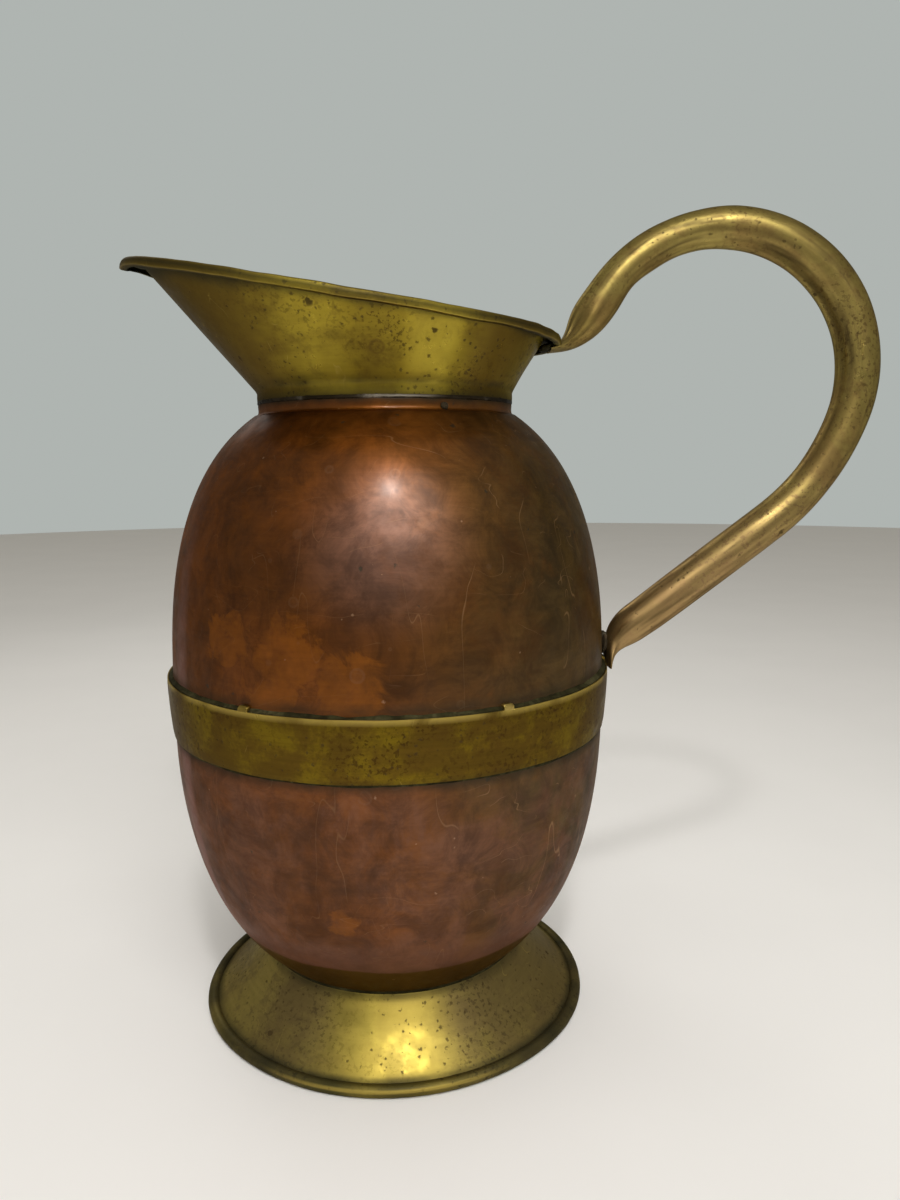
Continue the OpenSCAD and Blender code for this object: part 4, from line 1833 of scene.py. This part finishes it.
@dataclass
class Handle:
    """The looped brass tube, flattened at both ends and soldered on."""

    loop_x: float = 137.3
    loop_z: float = 267.9
    loop_r: float = 56.8
    bend_r: float = 92.0
    loop_start: float = 146.0
    loop_end: float = -18.7
    bend_end: float = -52.4
    straight: float = 63.0
    tube_r: float = 8.3
    tab_w: float = 9.2
    sides: int = 56
    upper: tuple[tuple[float, float, float], ...] = (
        (67.2, 277.4, 0.9),
        (70.4, 278.1, 1.5),
        (73.8, 279.4, 2.8),
        (77.3, 282.2, 4.8),
        (80.7, 286.4, 7.0),
        (83.1, 289.9, 7.9),
        (85.9, 293.6, 8.3),
    )
    lower: tuple[tuple[float, float, float], ...] = (
        (103.6, 163.2, 8.2),
        (100.0, 160.0, 7.4),
        (97.8, 157.6, 6.2),
        (95.9, 154.9, 4.5),
        (94.4, 152.2, 2.8),
        (93.8, 149.4, 1.6),
        (93.7, 147.0, 1.25),
        (93.7, 145.6, 0.9),
    )
    arc_starts: float = 32.0
    girth: tuple[tuple[float, float], ...] = (
        (-10.0, 7.9),
        (12.0, 7.5),
        (35.0, 7.35),
        (47.0, 7.65),
        (60.0, 8.35),
        (84.0, 8.75),
        (102.0, 8.97),
        (120.0, 8.97),
        (145.0, 8.62),
        (169.0, 8.2),
        (193.0, 7.95),
        (217.0, 8.26),
        (242.0, 8.4),
        (267.0, 8.25),
        (285.0, 8.0),
    )

    def path(self) -> list[tuple[float, float, float]]:
        """Stations of the whole tube: distance out, height, and half thickness.

        Returns:
            The stations.
        """
        stations = list(self.upper)
        centre = (self.loop_x, self.loop_z)
        bend = (
            self.loop_x - (self.bend_r - self.loop_r) * math.cos(math.radians(self.loop_end)),
            self.loop_z - (self.bend_r - self.loop_r) * math.sin(math.radians(self.loop_end)),
        )
        arcs = (
            (centre, self.loop_r, self.loop_start, self.loop_end, 90),
            (bend, self.bend_r, self.loop_end, self.bend_end, 30),
        )
        for (cx, cz), radius, first, last, steps in arcs:
            for i in range(1, steps + 1):
                a = math.radians(first + (last - first) * i / steps)
                stations.append((cx + radius * math.cos(a), cz + radius * math.sin(a), self.tube_r))
        x, z, _ = stations[-1]
        a = math.radians(self.bend_end)
        for i in range(1, 31):
            s = self.straight * i / 30
            stations.append((x + s * math.sin(a), z - s * math.cos(a), self.tube_r))
        stations += self.lower
        return stations

    def smoothed(self) -> list[tuple[float, float, float]]:
        """The stations laid evenly and eased, so that the ends run into the bends.

        Returns:
            The eased stations.
        """
        raw = self.path()
        far = [0.0]
        for (x0, z0, _), (x1, z1, _) in zip(raw, raw[1:]):
            far.append(far[-1] + math.hypot(x1 - x0, z1 - z0))
        lines = [list(zip(far, [station[k] for station in raw])) for k in range(3)]
        count = 260
        even = [
            [between(line, far[-1] * i / count) for line in lines] for i in range(count + 1)
        ]
        for _ in range(5):
            eased = [list(p) for p in even]
            for i in range(1, count):
                for k in range(3):
                    eased[i][k] = 0.25 * even[i - 1][k] + 0.5 * even[i][k] + 0.25 * even[i + 1][k]
            even = eased
        stations = []
        total = far[-1]
        for i, (x, z, half) in enumerate(even):
            s = total * i / count
            girth = between(self.girth, s - self.arc_starts)
            stations.append((x, z, half * girth / self.tube_r))
        return stations

    def build(self, finishes: Finishes) -> None:
        """Builds the tube.

        Args:
            finishes: The materials.
        """
        stations = self.smoothed()
        rows, marks = [], []
        total = len(stations) - 1
        for i, (x, z, half) in enumerate(stations):
            x0, z0, _ = stations[max(i - 1, 0)]
            x1, z1, _ = stations[min(i + 1, total)]
            length = math.hypot(x1 - x0, z1 - z0)
            dx, dz = (x1 - x0) / length, (z1 - z0) / length
            share = i / total
            flat = 1.0 - smooth(0.8, 7.2, half)
            wide = half + flat * (self.tab_w - half)
            row, line = [], []
            for k in range(self.sides):
                a = 2.0 * math.pi * k / self.sides
                off, side = half * math.sin(a), wide * math.cos(a)
                at = Vector((math.cos(a) * 0.8, math.sin(a) * 0.8, share * 16.0))
                lump = 1.0 + 0.012 * noise.noise(at)
                dent = self.dent(share, a)
                fold = self.fold(share, a)
                row.append(
                    Vector((x - off * lump * dz * dent, side * (lump + fold), z + off * lump * dx * dent))
                )
                grain = noise.noise(Vector((math.cos(a) * 3.4, math.sin(a) * 3.4, share * 9.0 + 9.0)))
                fine = noise.noise(Vector((math.cos(a) * 11.0, math.sin(a) * 11.0, share * 28.0 + 3.0)))
                dull = 0.22 + 0.7 * grain + 0.45 * fine
                wear = max(2.4 * fold, 0.0)
                line.append((min(wear, 1.0), min(max(dull, 0.2 * flat, -3.5 * fold, 0.0), 0.85), 0.0))
            rows.append(row)
            marks.append(line)
        piece = Web(rows, marks, rows_close=False, capped=True).build("handle_tube_brass", sharp=50.0)
        settle(piece, Slot.HANDLE_BRASS, finishes.handle, ["handle_tube"])

    def fold(self, share: float, angle: float) -> float:
        """The sharp fold down each cheek of the upper end, where the tube was nipped shut.

        Args:
            share: How far along the tube, from 0 to 1.
            angle: Angle round the axis, in radians.

        Returns:
            How far the wall is pushed in.
        """
        strength = bell(0.040, 0.045, share)
        off = abs(
            math.remainder(angle - math.pi, 2.0 * math.pi)
        ) if math.cos(angle) < 0.0 else abs(math.remainder(angle, 2.0 * math.pi))
        lean = math.sin(angle)
        ridge = bell(0.0, 0.30, off + 0.4 * lean)
        valley = bell(0.55, 0.40, off * math.copysign(1.0, lean))
        return strength * (0.16 * ridge - 0.20 * valley)

    def dent(self, share: float, angle: float) -> float:
        """How much of its half thickness the tube keeps where the inner side was pressed in."""
        inner = smooth(-0.2, 0.9, -math.sin(angle))
        return 1.0 - 0.10 * bell(0.125, 0.04, share) * inner


@dataclass
class HandleJoints:
    """Solder at the two ends of the handle."""

    def lump(
        self,
        name: str,
        size: tuple[float, float, float],
        at: tuple[float, float, float],
        turn: float,
        rough: float,
    ) -> bpy.types.Object:
        """A run of solder.

        Args:
            name: Name of the piece.
            size: Half sizes along X, Y and Z.
            at: Centre.
            turn: Turn about Y, in degrees.
            rough: How lumpy it is.

        Returns:
            The lump.
        """
        bm = bmesh.new()
        for mark in Mark:
            bm.verts.layers.float.new(mark.value)
        bmesh.ops.create_icosphere(bm, subdivisions=5, radius=1.0)
        spin = Matrix.Rotation(math.radians(turn), 3, "Y")
        for vert in bm.verts:
            n = vert.co.copy()
            squared = Vector([math.copysign(abs(c) ** 0.8, c) for c in n])
            p = Vector((squared.x * size[0], squared.y * size[1], squared.z * size[2]))
            p += n * rough * noise.noise(p * 0.55 + Vector((size[2], 2.0, 5.0)))
            vert.co = (spin @ p + Vector(at)) * MM
        return finish_mesh(bm, name, 60.0)

    def build(self, finishes: Finishes) -> None:
        """Builds both runs of solder."""
        upper = self.lump("handle_top_solder", (3.2, 7.6, 1.5), (66.4, 0.0, 278.4), -12.0, 0.5)
        settle(upper, Slot.OLD_SOLDER, finishes.solder, ["handle_upper_solder"])
        lower = self.lump("handle_low_solder", (1.4, 7.6, 4.6), (91.2, 0.0, 155.6), 8.0, 0.35)
        settle(lower, Slot.OLD_SOLDER, finishes.green_solder, ["handle_lower_solder"])


# ---- Stage ----


@dataclass(frozen=True)
class Lamp:
    """A soft round light: size in metres, power in watts, spread in degrees.

    A light that doesn't show is left out of what the metal mirrors.
    """

    name: str
    at: tuple[float, float, float]
    aim: tuple[float, float, float]
    size: float
    power: float
    colour: Colour
    spread: float
    shows: bool = True


LAMPS = (
    Lamp("key", (0.08, -0.72, 1.02), (0.02, -0.02, 0.0), 0.10, 0.42, (1.0, 0.98, 0.96), 66.0),
    Lamp("room", (0.25, -1.05, 1.15), (0.0, 0.0, 0.05), 0.9, 2.6, (1.0, 0.98, 0.95), 90.0),
    Lamp("fill", (0.75, -1.1, 0.75), (0.1, 0.05, 0.15), 0.5, 0.4, (0.95, 1.0, 0.98), 100.0, False),
    Lamp("back", (-0.45, 0.85, 0.85), (0.0, 0.0, 0.12), 0.6, 0.6, (1.0, 0.98, 0.95), 120.0),
    Lamp("overhead", (0.0, 0.0, 2.2), (0.0, 0.0, 0.0), 2.0, 9.0, (1.0, 0.985, 0.97), 160.0, False),
)


@dataclass
class Stage:
    """A plain pale floor, soft lights and the camera."""

    reach: float = 3.0
    sides: int = 96
    seen: Colour = (0.43, 0.46, 0.44)
    glow: Colour = (0.46, 0.445, 0.395)
    glow_strength: float = 0.74
    eye: tuple[float, float, float] = (0.02584, -0.380, 0.2333)
    pitch: float = 8.84
    roll: float = 0.46
    sensor: float = 36.0
    lens: float = 27.0

    def floor(self) -> None:
        """Adds the round floor."""
        bm = bmesh.new()
        rim = []
        for k in range(self.sides):
            angle = 2.0 * math.pi * k / self.sides
            rim.append(bm.verts.new((self.reach * math.cos(angle), self.reach * math.sin(angle), 0.0)))
        bm.faces.new(rim)
        mesh = bpy.data.meshes.new("stage_floor")
        bm.to_mesh(mesh)
        bm.free()
        mesh.materials.append(StageFinish().material())
        piece = bpy.data.objects.new("stage_floor", mesh)
        bpy.context.collection.objects.link(piece)
        piece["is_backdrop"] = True

    def surroundings(self) -> None:
        """Adds the soft light from all round, with a plain pale backdrop for the camera."""
        world = bpy.data.worlds.new("surroundings")
        world.use_nodes = True
        tree = world.node_tree
        glow = tree.nodes["Background"]
        glow.inputs["Color"].default_value = (*self.glow, 1.0)
        glow.inputs["Strength"].default_value = self.glow_strength
        seen = tree.nodes.new("ShaderNodeBackground")
        seen.inputs["Color"].default_value = (*self.seen, 1.0)
        path = tree.nodes.new("ShaderNodeLightPath")
        choice = tree.nodes.new("ShaderNodeMixShader")
        tree.links.new(path.outputs["Is Camera Ray"], choice.inputs[0])
        tree.links.new(glow.outputs[0], choice.inputs[1])
        tree.links.new(seen.outputs[0], choice.inputs[2])
        tree.links.new(choice.outputs[0], tree.nodes["World Output"].inputs["Surface"])
        bpy.context.scene.world = world

    def light(self, lamp: Lamp) -> None:
        """Adds a soft round light.

        Args:
            lamp: The light's facts.
        """
        data = bpy.data.lights.new(lamp.name, "AREA")
        data.shape = "DISK"
        data.size = lamp.size
        data.energy = lamp.power
        data.color = lamp.colour
        data.spread = math.radians(lamp.spread)
        piece = bpy.data.objects.new(lamp.name, data)
        piece.location = lamp.at
        piece.rotation_mode = "QUATERNION"
        aim = Vector(lamp.aim) - Vector(lamp.at)
        piece.rotation_quaternion = aim.to_track_quat("-Z", "Y")
        piece.visible_glossy = lamp.shows
        bpy.context.collection.objects.link(piece)

    def camera(self) -> None:
        """Adds the camera, a little below the jug's rim and just to the right of its axis."""
        pitch, roll = math.radians(self.pitch), math.radians(self.roll)
        forward = Vector((0.0, math.cos(pitch), -math.sin(pitch)))
        level = Vector((1.0, 0.0, 0.0))
        above = level.cross(forward)
        right = level * math.cos(roll) - above * math.sin(roll)
        top = above * math.cos(roll) + level * math.sin(roll)
        data = bpy.data.cameras.new("camera")
        data.sensor_width = self.sensor
        data.lens = self.lens
        data.clip_start = 0.01
        camera = bpy.data.objects.new("camera", data)
        turn = Matrix((right, top, -forward)).transposed().to_4x4()
        camera.matrix_world = Matrix.Translation(self.eye) @ turn
        bpy.context.collection.objects.link(camera)
        bpy.context.scene.camera = camera

    def build(self) -> None:
        """Builds the stage."""
        self.floor()
        for lamp in LAMPS:
            self.light(lamp)
        self.surroundings()
        bpy.context.scene.view_settings.view_transform = "Standard"
        self.camera()


def dress_hidden(finishes: Finishes) -> None:
    """Gives the CAD nodes that still show their finishes.

    Args:
        finishes: The materials.
    """
    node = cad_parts["waist_solder"]
    node.data.materials.clear()
    node.data.materials.append(finishes.tin)
    log.info("waist_solder: kept from the CAD model")


def write_sizes() -> None:
    boxes = {"cad": CAD_BOX, "visual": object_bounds()}
    plain = {key: [list(corner) for corner in box] for key, box in boxes.items()}


def main() -> None:
    """Builds the jug and its stage in order."""
    logging.basicConfig(level=logging.INFO, format="%(name)s %(message)s")
    effects = Effects()
    finishes = make_finishes(effects)
    body = Body()
    body.build(finishes)
    Band(body).build(finishes)
    Foot(body).build(finishes)
    NeckJoint().build(finishes)
    Collar().build(finishes)
    Handle().build(finishes)
    HandleJoints().build(finishes)
    dress_hidden(finishes)
    Stage().build()
    write_sizes()


if __name__ == "__main__":
    main()
